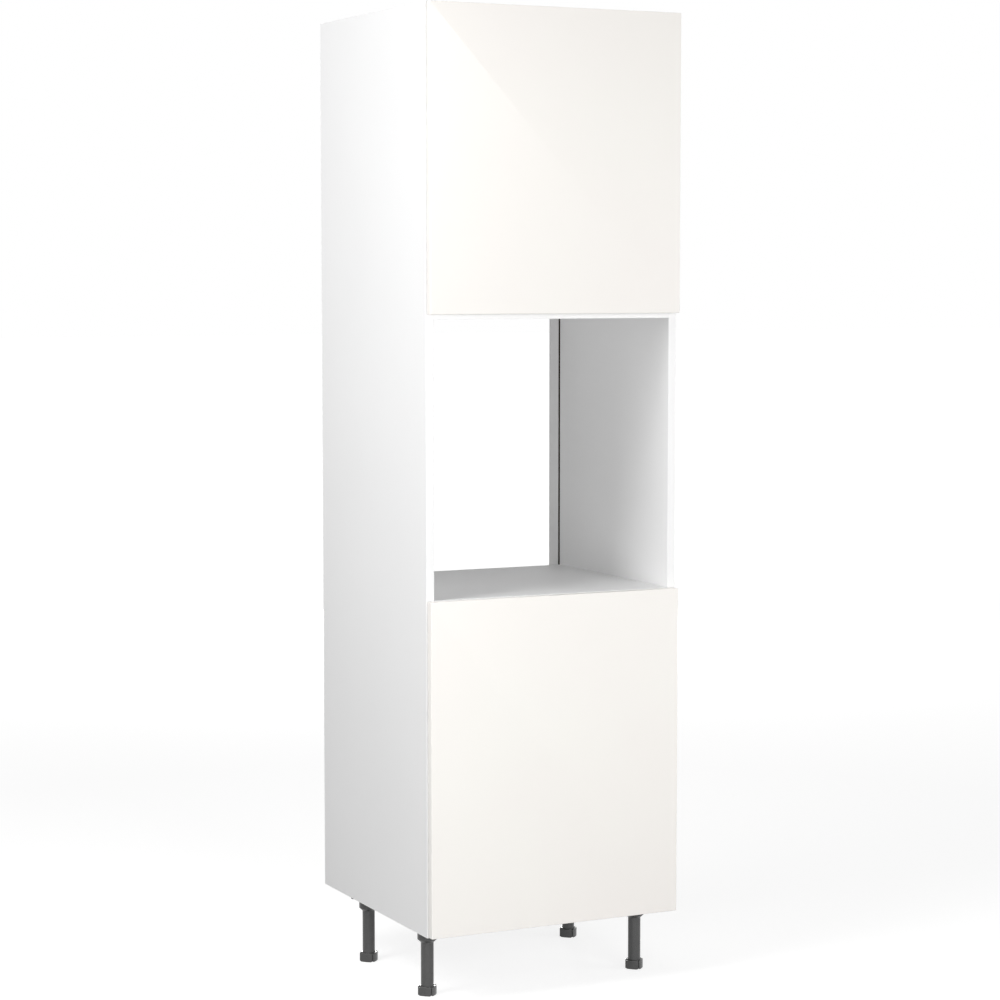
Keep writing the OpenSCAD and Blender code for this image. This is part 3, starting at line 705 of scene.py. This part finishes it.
@dataclass(frozen=True)
class PlatedSteel(Finish):
    """Plated steel with fine drawing lines and a cloudy change in the plating."""

    name: str
    slot: str
    colour: Colour
    tint: Colour
    lines: Point = (300.0, 300.0, 4000.0)
    rough: float = 0.27
    line_depth: float = 0.01 * MM

    def recipe(self) -> bpy.types.Material:
        """Makes the metal's material.

        Returns:
            The material.
        """
        mix = Recipe(self.name)
        drawn = mix.noise(1.0, 3, mix.stretched(self.lines))
        cloud = mix.spread(mix.noise(90, 3), 0.0, 1.0, 0.35, 0.65)
        return mix.finished({
            "Base Color": mix.blend(cloud, self.colour, self.tint), "Metallic": 1.0,
            "Roughness": mix.spread(drawn, self.rough - 0.05, self.rough + 0.1),
            "Normal": mix.relief(drawn, self.line_depth)
        })


@dataclass(frozen=True)
class Beech(Finish):
    """Raw beech of a dowel, with short flecks along its length, which runs across the unit."""

    name: str = "raw_beech"
    slot: str = "beech"
    light: Colour = linear(222, 190, 148)
    dark: Colour = linear(186, 146, 102)
    flecks: Point = (60.0, 1500.0, 1500.0)
    fleck_depth: float = 0.05 * MM

    def recipe(self) -> bpy.types.Material:
        """Makes the wood's material.

        Returns:
            The material.
        """
        mix = Recipe(self.name)
        grain = mix.noise(1.0, 5, mix.stretched(self.flecks))
        fleck = mix.spread(grain, 0.0, 1.0, 0.42, 0.62)
        return mix.finished({
            "Base Color": mix.blend(fleck, self.light, self.dark), "Roughness": 0.62,
            "Normal": mix.relief(grain, self.fleck_depth)
        })


@dataclass(frozen=True)
class ClearRubber(Finish):
    """The clear soft plastic of a door bumper."""

    name: str = "clear_bumper"
    slot: str = "bumper_rubber"
    colour: Colour = linear(232, 236, 236)
    shade: Colour = linear(220, 226, 226)
    haze_depth: float = 0.01 * MM

    def recipe(self) -> bpy.types.Material:
        """Makes the bumper's material.

        Returns:
            The material.
        """
        mix = Recipe(self.name)
        haze = mix.noise(900, 3)
        return mix.finished({
            "Base Color": mix.blend(haze, self.colour, self.shade), "Roughness": mix.spread(haze, 0.16, 0.26),
            "Normal": mix.relief(haze, self.haze_depth), "Transmission Weight": 0.75, "IOR": 1.46
        })


LACQUER = Lacquer()
BARE_CORE = BareCore()
BEECH = Beech()
CLEAR_RUBBER = ClearRubber()
LEG_PLASTIC = MouldedPlastic("grained_plastic", "leg_plastic", linear(70, 70, 70), linear(96, 96, 95))
CAP_PLASTIC = MouldedPlastic(
    "cap_plastic", "edge_band", linear(240, 240, 238), linear(232, 232, 229),
    rough=0.36, grain=1800.0, scuff_top=0.0
)
NICKEL = PlatedSteel("nickel_plate", "zinc", linear(206, 206, 204), linear(190, 189, 186))
CAST_ZINC = PlatedSteel(
    "cast_zinc", "zinc", linear(184, 186, 188), linear(166, 168, 171),
    lines=(900.0, 900.0, 900.0), rough=0.42
)
PIN_STEEL = PlatedSteel("zinc_plate", "pin_steel", linear(190, 194, 198), linear(205, 202, 186))


# ---- Placing pieces ----


def place(name: str, skin: Skin, finishes: list[Finish], body: str, stands_for: str) -> None:
    """Makes a piece, lets it ride on a body and hides the node that it stands for.

    Points that lie on each other are merged, so seams and poles are closed, and the faces of each closed
    shell are turned outwards.

    Args:
        name: the piece's name.
        skin: its surface.
        finishes: its finishes, by the numbers in the skin.
        body: the body that it rides on.
        stands_for: the node that it replaces.
    """
    mesh = bpy.data.meshes.new(name)
    mesh.vertices.add(len(skin.points))
    mesh.vertices.foreach_set("co", skin.points.astype(np.float32).ravel())
    mesh.loops.add(len(skin.corners))
    mesh.loops.foreach_set("vertex_index", skin.corners.astype(np.int32))
    mesh.polygons.add(len(skin.sizes))
    starts = np.concatenate([[0], np.cumsum(skin.sizes)[:-1]])
    mesh.polygons.foreach_set("loop_start", starts.astype(np.int32))
    mesh.polygons.foreach_set("use_smooth", skin.smooth)
    mesh.polygons.foreach_set("material_index", skin.finish.astype(np.int32))
    mesh.update(calc_edges=True)
    mesh.validate()
    shell = bmesh.new()
    shell.from_mesh(mesh)
    bmesh.ops.remove_doubles(shell, verts=shell.verts, dist=MERGE_GAP)
    bmesh.ops.recalc_face_normals(shell, faces=shell.faces)
    shell.to_mesh(mesh)
    shell.free()
    mesh.set_sharp_from_angle(angle=SHARP_ANGLE)
    for finish in finishes:
        mesh.materials.append(finish.material())
    piece = bpy.data.objects.new(name, mesh)
    bpy.context.scene.collection.objects.link(piece)
    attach(piece, body)
    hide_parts(stands_for)
    LOG.info("%s: %d faces on %s, for %s", name, len(mesh.polygons), body, stands_for)


def dress(node: str, finish: Finish) -> None:
    """Gives a node of the frame its finish.

    Args:
        node: the node's name.
        finish: the finish for all its material slots.
    """
    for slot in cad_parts[node].material_slots:
        slot.material = finish.material()
    LOG.info("%s: finish %s", node, finish.name)


# ---- The carcass ----


@dataclass(frozen=True)
class Carcass:
    """Boards, edge bands, cam fittings and caps of the carcass.

    Attributes:
        back_white: colour of the back panels' faces.
        back_rough: roughness of those faces.
        band_r: radius of a band's front arrises.
        band_back_r: radius of its back arrises.
        band_corner_r: radius of its corners, seen from the front.
        cam_setback: distance from a panel's end to the middle of its cam lock.
        cam_inset: distance from a panel's back edge, and from the front of its band, to its cam locks.
        band_t: thickness of the band, which lies outside its panel's box.
        cap_r: radius of a cover cap.
        cap_t: thickness of a cover cap.
        cap_edge: radius of the cap's rounded edge.
    """

    back_white: Colour = linear(236, 236, 234)
    back_rough: float = 0.42
    band_r: float = 0.6 * MM
    band_back_r: float = 0.01 * MM
    band_corner_r: float = 0.7 * MM
    cam_setback: float = 24 * MM
    cam_inset: float = 37 * MM
    band_t: float = 1 * MM
    cap_r: float = 9 * MM
    cap_t: float = 1.2 * MM
    cap_edge: float = 0.8 * MM

    def dress_board(self, node: str, axis: Axis, slot: str = "white_board", **options: object) -> None:
        """Gives a board the finish that follows its own faces.

        Args:
            node: the board.
            axis: the way through it.
            slot: the record's material slot.
            options: the finish's other values.
        """
        low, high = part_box(node)
        dress(node, FacedBoard(f"{node}_faces", slot, axis, low[axis.value], high[axis.value], **options))

    def dress_boards(self) -> None:
        """Dresses all the boards. The grooves in the side panels lie midway through a back panel."""
        low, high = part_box("lower_back_panel")
        for node in SIDE_PANELS:
            self.dress_board(node, Axis.X, groove=(low.y + high.y) / 2)
        for node in FIXED_PANELS:
            self.dress_board(node, Axis.Z)
        for door in DOORS:
            shelf = f"{door}_adjustable_shelf"
            self.dress_board(shelf, Axis.Z, front=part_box(shelf)[0].y)
            self.dress_board(f"{door}_back_panel", Axis.Y, "back_board", core=Core.FIBREBOARD,
                             white=self.back_white, rough=self.back_rough)
        self.dress_board("wall_fixing_rail", Axis.Y)

    def dress_fittings(self) -> None:
        """Gives the hidden fittings and the shelf pins their finishes."""
        dress("cam_locks", CAST_ZINC)
        dress("cam_bolts", PIN_STEEL)
        dress("dowels", BEECH)
        for door in DOORS:
            dress(f"{door}_shelf_pins", NICKEL)

    def build_bands(self, kind: str, panels: tuple[str, ...], through: Axis, along: Axis) -> None:
        """Builds the bands on some panels, soft along their front arrises.

        Args:
            kind: side or shelf.
            panels: the panels.
            through: the way through a panel, along which a band is as wide as its panel.
            along: the way that the bands run.
        """
        bands = []
        for panel in panels:
            low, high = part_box(f"{kind}_edge_bands")
            inner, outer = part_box(panel)
            low[through.value], high[through.value] = inner[through.value], outer[through.value]
            bands.append(Slab(low, high, self.band_r, self.band_back_r, self.band_corner_r).skin())
        place(f"{kind}_bands", Skin.joined(bands), [Band(f"{kind}_band", along)], "carcass",
              f"{kind}_edge_bands")

    def cap(self) -> Skin:
        """Returns a cover cap on Z = 0: a profile with a rounded edge, turned round its middle."""
        edge = arc((self.cap_r - self.cap_edge, self.cap_t - self.cap_edge), self.cap_edge, 0, 90)
        return turned(profile((0, 0), (self.cap_r, 0), edge, (self.cap_r / 2, self.cap_t), (0, self.cap_t)))

    def build_caps(self) -> None:
        """Builds the sixteen caps, under three of the fixed panels and on top of the one over the oven."""
        caps = []
        for panel in FIXED_PANELS:
            low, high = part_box(panel)
            level, up = (high.z, 1) if panel == "over_oven_shelf" else (low.z, -1)
            for x in (low.x + self.cam_setback, high.x - self.cam_setback):
                for y in (low.y + self.cam_inset - self.band_t, high.y - self.cam_inset):
                    caps.append(self.cap().moved(standing((x, y, level), (0, 0, up))))
        place("cover_caps", Skin.joined(caps), [CAP_PLASTIC], "carcass", "cam_caps")

    def build(self) -> None:
        """Dresses and builds the whole carcass."""
        self.dress_boards()
        self.dress_fittings()
        self.build_bands("side", SIDE_PANELS, Axis.X, Axis.Z)
        self.build_bands("shelf", FIXED_PANELS, Axis.Z, Axis.X)
        self.build_caps()


# ---- Doors and hinges ----


@dataclass(frozen=True)
class Door:
    """A lacquered slab door with its cup bores and bumpers.

    Attributes:
        name: upper or lower.
        arris_r: radius of the front arrises.
        back_r: radius of the back arrises.
        corner_r: radius of the corners, seen from the front.
        cup_r: radius of a cup's bore.
        bore_edge: board left between the door's edge and a cup's bore.
        bore_l: depth of a cup's bore.
        ear_half: half the height of a cup's flange.
        bumper_r: radius of a bumper.
    """

    name: str
    arris_r: float = 1.2 * MM
    back_r: float = 0.8 * MM
    corner_r: float = 1.4 * MM
    cup_r: float = 17.5 * MM
    bore_edge: float = 5 * MM
    bore_l: float = 12.5 * MM
    ear_half: float = 29.5 * MM
    bumper_r: float = 4 * MM

    @property
    def body(self) -> str:
        """The body that the door rides on."""
        return f"{self.name}_door"

    def build_slab(self) -> None:
        """Builds the door's slab, with a bore behind each hinge cup."""
        low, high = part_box(self.body)
        cup_low, cup_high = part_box(f"{self.name}_hinge_cups")
        x = high.x - self.bore_edge - self.cup_r
        bores = tuple((x, z) for z in (cup_low.z + self.ear_half, cup_high.z - self.ear_half))
        slab = Slab(low, high, self.arris_r, self.back_r, self.corner_r, bores, self.cup_r, self.bore_l)
        place(f"{self.name}_door_slab", slab.skin(core=1), [LACQUER, BARE_CORE], self.body, self.body)

    def build_bumpers(self) -> None:
        """Builds the two bumpers: half a squashed ball, turned round the way out of the door's back."""
        node = f"{self.name}_door_bumpers"
        low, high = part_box(node)
        lift = np.radians(np.linspace(0, 90, 7))
        dome = np.stack([self.bumper_r * np.cos(lift), (high.y - low.y) * np.sin(lift)], axis=-1)
        bumper = turned(profile((0, 0), dome), SMALL_POINTS)
        x = (low.x + high.x) / 2
        bumpers = [
            bumper.moved(standing((x, low.y, z), (0, 1, 0)))
            for z in (low.z + self.bumper_r, high.z - self.bumper_r)
        ]
        place(f"{self.name}_bumper_domes", Skin.joined(bumpers), [CLEAR_RUBBER], self.body, node)

    def build(self) -> None:
        """Builds the door."""
        self.build_slab()
        self.build_bumpers()


@dataclass(frozen=True)
class Hinges:
    """The concealed hinges of both doors, with their screws.

    Attributes:
        ear_spacing: distance between the two screws of a cup.
        ear_screw: a screw of a cup.
        plate_spacing: distance between the two screws of a mounting plate.
        plate_screw: a screw of a plate.
    """

    ear_spacing: float = 45 * MM
    ear_screw: Screw = Screw(head_r=3.4 * MM, head_h=0.7 * MM, shank_r=2 * MM, shank_l=11.9 * MM)
    plate_spacing: float = 32 * MM
    plate_screw: Screw = Screw(head_r=4.5 * MM, head_h=2 * MM, shank_r=2.5 * MM, shank_l=12.7 * MM)

    def dress_parts(self) -> None:
        """Gives plates, arms, links, cups and pins their plating."""
        nickel = ["hinge_plates", "hinge_arms"]
        steel = ["hinge_arm_pins", "hinge_adjusters"]
        for door in DOORS:
            nickel += [f"{door}_hinge_links", f"{door}_hinge_cups"]
            steel.append(f"{door}_cup_pins")
        for nodes, finish in ((nickel, NICKEL), (steel, PIN_STEEL)):
            for node in nodes:
                dress(node, finish)

    def heights(self, door: str, spacing: float) -> list[float]:
        """Works out the heights of screws that stand in pairs about the middles of a door's hinges.

        Args:
            door: upper or lower.
            spacing: distance between the two screws of a pair.

        Returns:
            The four heights. Each hinge is midway between the screws of its cup.
        """
        low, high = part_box(f"{door}_cup_screws")
        half = self.ear_spacing / 2 + self.ear_screw.head_r
        return [z + side * spacing / 2 for z in (low.z + half, high.z - half) for side in (-1, 1)]

    def build_cup_screws(self, door: str) -> None:
        """Builds the four screws that hold a door's cups, with their heads on the cups' ears.

        Args:
            door: upper or lower.
        """
        node = f"{door}_cup_screws"
        low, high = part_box(node)
        x, y = (low.x + high.x) / 2, high.y - self.ear_screw.head_h
        screws = [
            self.ear_screw.skin().moved(standing((x, y, z), (0, 1, 0)))
            for z in self.heights(door, self.ear_spacing)
        ]
        place(f"{door}_ear_screws", Skin.joined(screws), [PIN_STEEL], f"{door}_door", node)

    def build_plate_screws(self) -> None:
        """Builds the eight screws that hold the mounting plates to the side panel."""
        low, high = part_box("hinge_plate_screws")
        x, y = low.x + self.plate_screw.head_h, (low.y + high.y) / 2
        screws = [
            self.plate_screw.skin().moved(standing((x, y, z), (-1, 0, 0)))
            for door in DOORS for z in self.heights(door, self.plate_spacing)
        ]
        place("plate_screws", Skin.joined(screws), [PIN_STEEL], "carcass", "hinge_plate_screws")

    def build(self) -> None:
        """Dresses and builds the hinges."""
        self.dress_parts()
        for door in DOORS:
            self.build_cup_screws(door)
        self.build_plate_screws()


# ---- Legs ----


@dataclass(frozen=True)
class Leg:
    """One adjustable leg: socket, tube, foot and spindle.

    Attributes:
        corner: which corner of the carcass it stands under.
        flange_r: radius of the socket's flange.
        flange_t: thickness of the flange.
        collar_r: radius of the collar.
        collar_l: height of the collar below the flange.
        taper_l: height of the taper below the collar.
        lip: wall at the end of the taper.
        soft: radius of the moulded arrises.
        step: small step between two moulded faces.
        lug_reach: reach of the flange's lug from the middle of the leg.
        lug_w: width of the lug.
        lug_r: radius of the lug's corners.
        tube_wall: wall of the tube.
        tube_fit: gap between the tube and its socket.
        chamfer: chamfer at the ends of the tube.
        foot_w: width of the foot across two opposite pads.
        foot_h: height of the foot.
        hub_r: radius of the foot's hub.
        recess_h: floor of the recess for the tube.
        recess_play: gap between the tube and that recess.
        bore_h: floor of the spindle's bore.
        bore_r: radius of that bore.
        crown_r: radius of a pad's crown.
        pad_half: half the width of a pad.
        pad_corner_r: radius of the corners of a pad's face.
        slot: width of the slot between two pads.
        pitch: pitch of the spindle's thread.
        thread: depth of the thread.
        thread_rows: rows of points along the spindle.
    """

    corner: str
    flange_r: float = 33 * MM
    flange_t: float = 4 * MM
    collar_r: float = 21.5 * MM
    collar_l: float = 23.5 * MM
    taper_l: float = 5.5 * MM
    lip: float = 1.3 * MM
    soft: float = 0.7 * MM
    step: float = 0.25 * MM
    lug_reach: float = 42 * MM
    lug_w: float = 9 * MM
    lug_r: float = 1.5 * MM
    tube_wall: float = 1.8 * MM
    tube_fit: float = 0.05 * MM
    chamfer: float = 0.4 * MM
    foot_w: float = 37 * MM
    foot_h: float = 20 * MM
    hub_r: float = 16.5 * MM
    recess_h: float = 14.5 * MM
    recess_play: float = 0.3 * MM
    bore_h: float = 6 * MM
    bore_r: float = 5.05 * MM
    crown_r: float = 50 * MM
    pad_half: float = 14.56 * MM
    pad_corner_r: float = 3.5 * MM
    slot: float = 2.5 * MM
    pitch: float = 3.5 * MM
    thread: float = 0.8 * MM
    thread_rows: int = 104

    @property
    def middle(self) -> Matrix:
        """The move from the leg's own axis to its place."""
        low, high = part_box(f"{self.corner}_leg_tube")
        return Matrix.Translation(((low.x + high.x) / 2, (low.y + high.y) / 2, 0))

    @property
    def tube_r(self) -> float:
        """Outer radius of the tube, from the frame."""
        low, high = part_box(f"{self.corner}_leg_tube")
        return (high.x - low.x) / 2

    @property
    def lug_angle(self) -> float:
        """Direction of the lug in degrees: out to the side at the back, to the corner at the front."""
        if self.corner.startswith("rear"):
            return 0.0 if self.corner.endswith("right") else 180.0
        return -45.0 if self.corner.endswith("right") else -135.0

    def put(self, part: str, skin: Skin, finish: Finish, body: str, node: str) -> None:
        """Places one of the leg's pieces, worked out round the leg's own axis.

        Args:
            part: the end of the piece's name.
            skin: its surface.
            finish: its finish.
            body: the body that it rides on.
            node: the end of the name of the node that it replaces.
        """
        place(f"{self.corner}_{part}", skin.moved(self.middle), [finish], body, f"{self.corner}_{node}")

    def lug(self, top: float) -> Skin:
        """Works out the flange's lug: its outline, carried from the soft arris of its underside to its top.

        Args:
            top: height of the lug's top.

        Returns:
            The closed skin.
        """
        half, radius = self.lug_w / 2, self.lug_r
        root, end = self.flange_r - 4 * radius, self.lug_reach - radius
        outline = profile(
            (root, -half), arc((end, radius - half), radius, -90, 0),
            arc((end, half - radius), radius, 0, 90), (root, half)
        )
        centre = np.array([(root + self.lug_reach) / 2, 0])
        under = top - self.flange_t + self.step
        rings = [
            np.column_stack([centre + (outline - centre) * share, np.full(len(outline), level)])
            for share, level in ((0.9, under), (1, under + self.soft), (1, top))
        ]
        ends = [Skin.polygon(rings[0]), Skin.polygon(rings[-1])]
        return Skin.joined([Skin.grid(np.stack(rings), smooth=False), *ends]).moved(spun(self.lug_angle))

    def build_socket(self) -> None:
        """Builds the socket: a turned flange and collar with moulded arrises, and its lug."""
        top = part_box(f"{self.corner}_leg_socket")[1].z
        under = top - self.flange_t
        collar = under - self.collar_l
        soft, bore = self.soft, self.tube_r + self.tube_fit
        shape = profile(
            (0, top), (self.flange_r, top),
            arc((self.flange_r - soft, under + soft), soft, 0, -90),
            arc((self.collar_r + 2 * soft, under - 2 * soft), 2 * soft, 90, 180),
            arc((self.collar_r - soft, collar + soft), soft, 0, -45),
            (self.tube_r + self.lip, collar - self.taper_l),
            (bore, collar - self.taper_l), (bore, under), (0, under)
        )
        self.put("socket", Skin.joined([turned(shape, LEG_POINTS), self.lug(top)]), LEG_PLASTIC, "carcass",
                 "leg_socket")

    def build_tube(self) -> None:
        """Builds the tube, with a small chamfer at each end."""
        low, high = (corner.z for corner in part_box(f"{self.corner}_leg_tube"))
        outer, inner, cut = self.tube_r, self.tube_r - self.tube_wall, self.chamfer
        shape = profile(
            (inner, low), (outer - cut, low), (outer, low + cut), (outer, high - cut),
            (outer - cut, high), (inner, high), (inner, low)
        )
        self.put("tube", turned(shape, LEG_POINTS), LEG_PLASTIC, "carcass", "leg_tube")

    def pad_outline(self, inset: float, share: float = 1.0) -> np.ndarray:
        """Works out the outline of a pad's face: a rectangle with round corners, drawn in.

        Args:
            inset: how far the outline is drawn in.
            share: size of the outline, shrunk towards its middle.

        Returns:
            Array (n, 2) of the place across the pad and the height.
        """
        radius = self.pad_corner_r - inset
        across, middle = self.pad_half - self.pad_corner_r, (self.foot_h - self.step) / 2
        rise = middle - self.pad_corner_r
        right, left = arc((across, rise), radius, 0, 90, 7), arc((-across, rise), radius, 90, 180, 7)
        top = np.linspace(right[-1], left[0], 13)[1:-1]
        upper = np.concatenate([right, top, left])
        return np.concatenate([upper, -upper]) * share + (0, middle)

    def pad(self) -> Skin:
        """Works out the pad whose middle looks along X.

        A point of the face lies at the circle of the crown, minus its depth in the arris. A point of the
        back lies on a circle within the hub, at an angle in step with its place across the pad. The
        pad's sides are straight from the back to the face, along the slots.

        Returns:
            The closed skin, ring after ring from the middle of the back to the middle of the face.
        """
        seat = self.hub_r - 4 * self.step
        wall = self.slot / math.sqrt(2)
        end_y = (math.sqrt(2 * seat ** 2 - wall ** 2) - wall) / 2
        spread = math.asin(end_y / seat)
        rows = []
        for share in (0, 0.5, 1):
            across, height = self.pad_outline(0, share).T
            turn = across / self.pad_half * spread
            rows.append(np.stack([seat * np.cos(turn), seat * np.sin(turn), height], axis=-1))
        lift = np.radians(np.linspace(0, 90, 5))
        face = [(self.soft * (1 - math.cos(a)), self.soft * (1 - math.sin(a)), 1.0) for a in lift]
        face += [(self.soft, 0.0, share) for share in (0.8, 0.6, 0.4, 0.2, 0)]
        for inset, depth, share in face:
            across, height = self.pad_outline(inset, share).T
            crown = self.foot_w / 2 - self.crown_r + np.sqrt(self.crown_r ** 2 - across ** 2)
            rows.append(np.stack([crown - depth, across, height], axis=-1))
        return Skin.grid(np.stack(rows))

    def hub(self) -> Skin:
        """Returns the foot's hub: a turned profile with the recess for the tube and the bore."""
        recess_r, soft_r = self.tube_r + self.recess_play, self.hub_r - self.soft
        return turned(profile(
            (0, self.step), (soft_r, self.step),
            arc((soft_r, self.step + self.soft), self.soft, -60, 0, 4),
            arc((soft_r, self.foot_h - self.soft), self.soft, 0, 90, 4),
            (recess_r + self.step, self.foot_h), (recess_r, self.foot_h - self.step),
            (recess_r, self.recess_h), (self.bore_r, self.recess_h), (self.bore_r, self.bore_h),
            (0, self.bore_h)
        ), LEG_POINTS)

    def build_foot(self) -> None:
        """Builds the foot: its hub and four pads, which look along the diagonals."""
        pads = [self.pad().moved(spun(angle)) for angle in (45, 135, 225, 315)]
        self.put("pads", Skin.joined([self.hub(), *pads]), LEG_PLASTIC, f"{self.corner}_foot", "foot")

    def build_spindle(self) -> None:
        """Builds the spindle, whose thread rises by its pitch in one turn.

        The radius is that of the spindle minus the thread's depth times a triangle wave of
        height / pitch - angle / turn, which fades in above the foot.
        """
        low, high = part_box(f"{self.corner}_spindle")
        angle = full_turn(SMALL_POINTS)
        height = np.linspace(low.z, high.z, self.thread_rows)[:, None]
        phase = (height / self.pitch - angle / (2 * np.pi)) % 1
        started = np.clip((height - self.foot_h) / self.pitch, 0, 1)
        radius = (high.x - low.x) / 2 - self.thread * np.abs(2 * phase - 1) * started
        rings_r = np.concatenate([0 * radius[:1], radius, 0 * radius[-1:]])
        rings_z = np.concatenate([height[:1], height, height[-1:]])
        self.put("screw_spindle", ringed(rings_r, rings_z, angle), PIN_STEEL, f"{self.corner}_foot",
                 "spindle")

    def build(self) -> None:
        """Builds the leg."""
        self.build_socket()
        self.build_tube()
        self.build_foot()
        self.build_spindle()


@dataclass(frozen=True)
class LegFittings:
    """Nuts in the leg tubes and the screws that hold the sockets.

    Attributes:
        reach: distance from the middle of a leg to its screws.
        spread: angle of the screws from the X axis, in degrees.
        screw: one of the screws.
    """

    reach: float = 28 * MM
    spread: float = 55.0
    screw: Screw = Screw(head_r=4 * MM, head_h=2 * MM, shank_r=2 * MM, shank_l=17 * MM)

    def build(self) -> None:
        """Dresses the nuts and builds the sixteen screws, heads down, on the circles of the sockets."""
        dress("spindle_nuts", LEG_PLASTIC)
        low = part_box("leg_socket_screws")[0]
        seat = Vector((self.reach, 0, low.z + self.screw.head_h))
        screws = [
            self.screw.skin().moved(standing(tuple(Leg(corner).middle @ spun(angle) @ seat), (0, 0, -1)))
            for corner in CORNERS
            for angle in (self.spread, 180 - self.spread, 180 + self.spread, -self.spread)
        ]
        place("socket_screws", Skin.joined(screws), [PIN_STEEL], "carcass", "leg_socket_screws")


# ---- Studio ----


@dataclass(frozen=True)
class Lamp:
    """A soft square lamp.

    Attributes:
        name: the lamp's name.
        at: its place.
        size: length of its sides.
        power: its power in watts.
        aim: the point that it faces.
    """

    name: str
    at: Point
    size: float
    power: float
    aim: Point = (0.0, 0.0, 1.2)

    def build(self) -> None:
        """Adds the lamp to the scene."""
        light = bpy.data.lights.new(self.name, "AREA")
        light.shape = "SQUARE"
        light.size = self.size
        light.energy = self.power
        lamp = bpy.data.objects.new(self.name, light)
        lamp.location = self.at
        lamp.rotation_euler = (Vector(self.aim) - Vector(self.at)).to_track_quat("-Z", "Y").to_euler()
        bpy.context.scene.collection.objects.link(lamp)


@dataclass(frozen=True)
class Studio:
    """Floor, light and camera.

    Attributes:
        eye: the camera's place, found by fitting its view to edges of the photograph.
        yaw: how far the camera looks to the right of +Y, in degrees.
        pitch: how far it looks down, in degrees.
        focal: its focal length in pixels.
        view: width of the square view in pixels.
        sensor: width of its sensor, in millimetres.
        sight: how far it sees.
        ambient: light from all round.
        floor_size: side of the floor.
        floor_colour: colour of the floor.
        near_glow: white that the floor shows near the unit, besides its lit colour.
        far_glow: white that it shows far away.
        near: distance from the unit at which the glow begins to rise.
        far: distance at which it has risen.
        lamps: the lamps.
    """

    eye: Point = (-2.60158, -5.32761, 1.55202)
    yaw: float = 26.0874
    pitch: float = 4.8054
    focal: float = 2656.84
    view: float = 1000.0
    sensor: float = 36.0
    sight: float = 200.0
    ambient: float = 0.16
    floor_size: float = 120.0
    floor_colour: Colour = linear(170, 170, 170)
    near_glow: float = 0.79
    far_glow: float = 1.0
    near: float = 2.5
    far: float = 9.0
    lamps: tuple[Lamp, ...] = (
        Lamp("high_left", (-3.0, -0.8, 4.5), 2.0, 68.0),
        Lamp("left", (-2.2, -0.6, 2.0), 1.0, 21.0),
        Lamp("low_left", (-2.0, -3.0, 0.8), 1.5, 34.0),
        Lamp("right", (3.0, -2.0, 1.1), 2.0, 31.0),
        Lamp("front", (0.5, -11.0, 2.6), 5.0, 438.0),
        Lamp("back", (2.5, 6.0, 0.42), 0.8, 150.0),
    )

    def build_camera(self) -> None:
        """Adds the camera of the photograph: no shift, no depth of field."""
        camera = bpy.data.cameras.new("camera")
        camera.sensor_width = self.sensor
        camera.lens = self.focal * self.sensor / self.view
        camera.clip_end = self.sight
        holder = bpy.data.objects.new("camera", camera)
        holder.location = self.eye
        holder.rotation_euler = (math.radians(90 - self.pitch), 0, -math.radians(self.yaw))
        bpy.context.scene.collection.objects.link(holder)
        bpy.context.scene.camera = holder

    def build_world(self) -> None:
        """Makes the background white to the eye, with a plain even light on the unit."""
        world = bpy.data.worlds.new("studio")
        world.use_nodes = True
        nodes = Nodes(world.node_tree)
        strength = nodes.spread(nodes.background(), self.ambient, 1.0, 0.0, 1.0)
        light = nodes.add("ShaderNodeBackground", {0: (1, 1, 1, 1), 1: strength})
        nodes.add("ShaderNodeOutputWorld", {0: light.outputs[0]})
        bpy.context.scene.world = world

    def build_floor(self) -> None:
        """Lays the pale floor, which runs into the white background and keeps the unit's shadow."""
        half = self.floor_size / 2
        mesh = bpy.data.meshes.new("floor")
        mesh.from_pydata([(-half, -half, 0), (half, -half, 0), (half, half, 0), (-half, half, 0)], [],
                         [(0, 1, 2, 3)])
        floor = bpy.data.objects.new("floor", mesh)
        bpy.context.scene.collection.objects.link(floor)
        mix = Recipe("floor")
        lit = mix.add("ShaderNodeBsdfDiffuse", {0: (*self.floor_colour, 1.0)})
        away = mix.add("ShaderNodeVectorMath", {0: mix.place}, operation="LENGTH").outputs[1]
        rise = mix.spread(away, self.near_glow, self.far_glow, self.near, self.far)
        glow = mix.add("ShaderNodeEmission", {"Strength": mix.math("MULTIPLY", mix.background(), rise)})
        both = mix.add("ShaderNodeAddShader", {0: lit.outputs[0], 1: glow.outputs[0]})
        mix.add("ShaderNodeOutputMaterial", {"Surface": both.outputs[0]})
        mesh.materials.append(mix.material)

    def build(self) -> None:
        """Builds the studio round the unit."""
        bpy.context.scene.view_settings.view_transform = "Standard"
        self.build_camera()
        self.build_world()
        self.build_floor()
        for lamp in self.lamps:
            lamp.build()


def main() -> None:
    """Builds the studio and the unit, one sub-assembly after the other."""
    logging.basicConfig(level=logging.INFO, format="%(message)s", stream=sys.stdout)
    Studio().build()
    Carcass().build()
    for door in DOORS:
        Door(door).build()
    Hinges().build()
    for corner in CORNERS:
        Leg(corner).build()
    LegFittings().build()


if __name__ == "__main__":
    main()
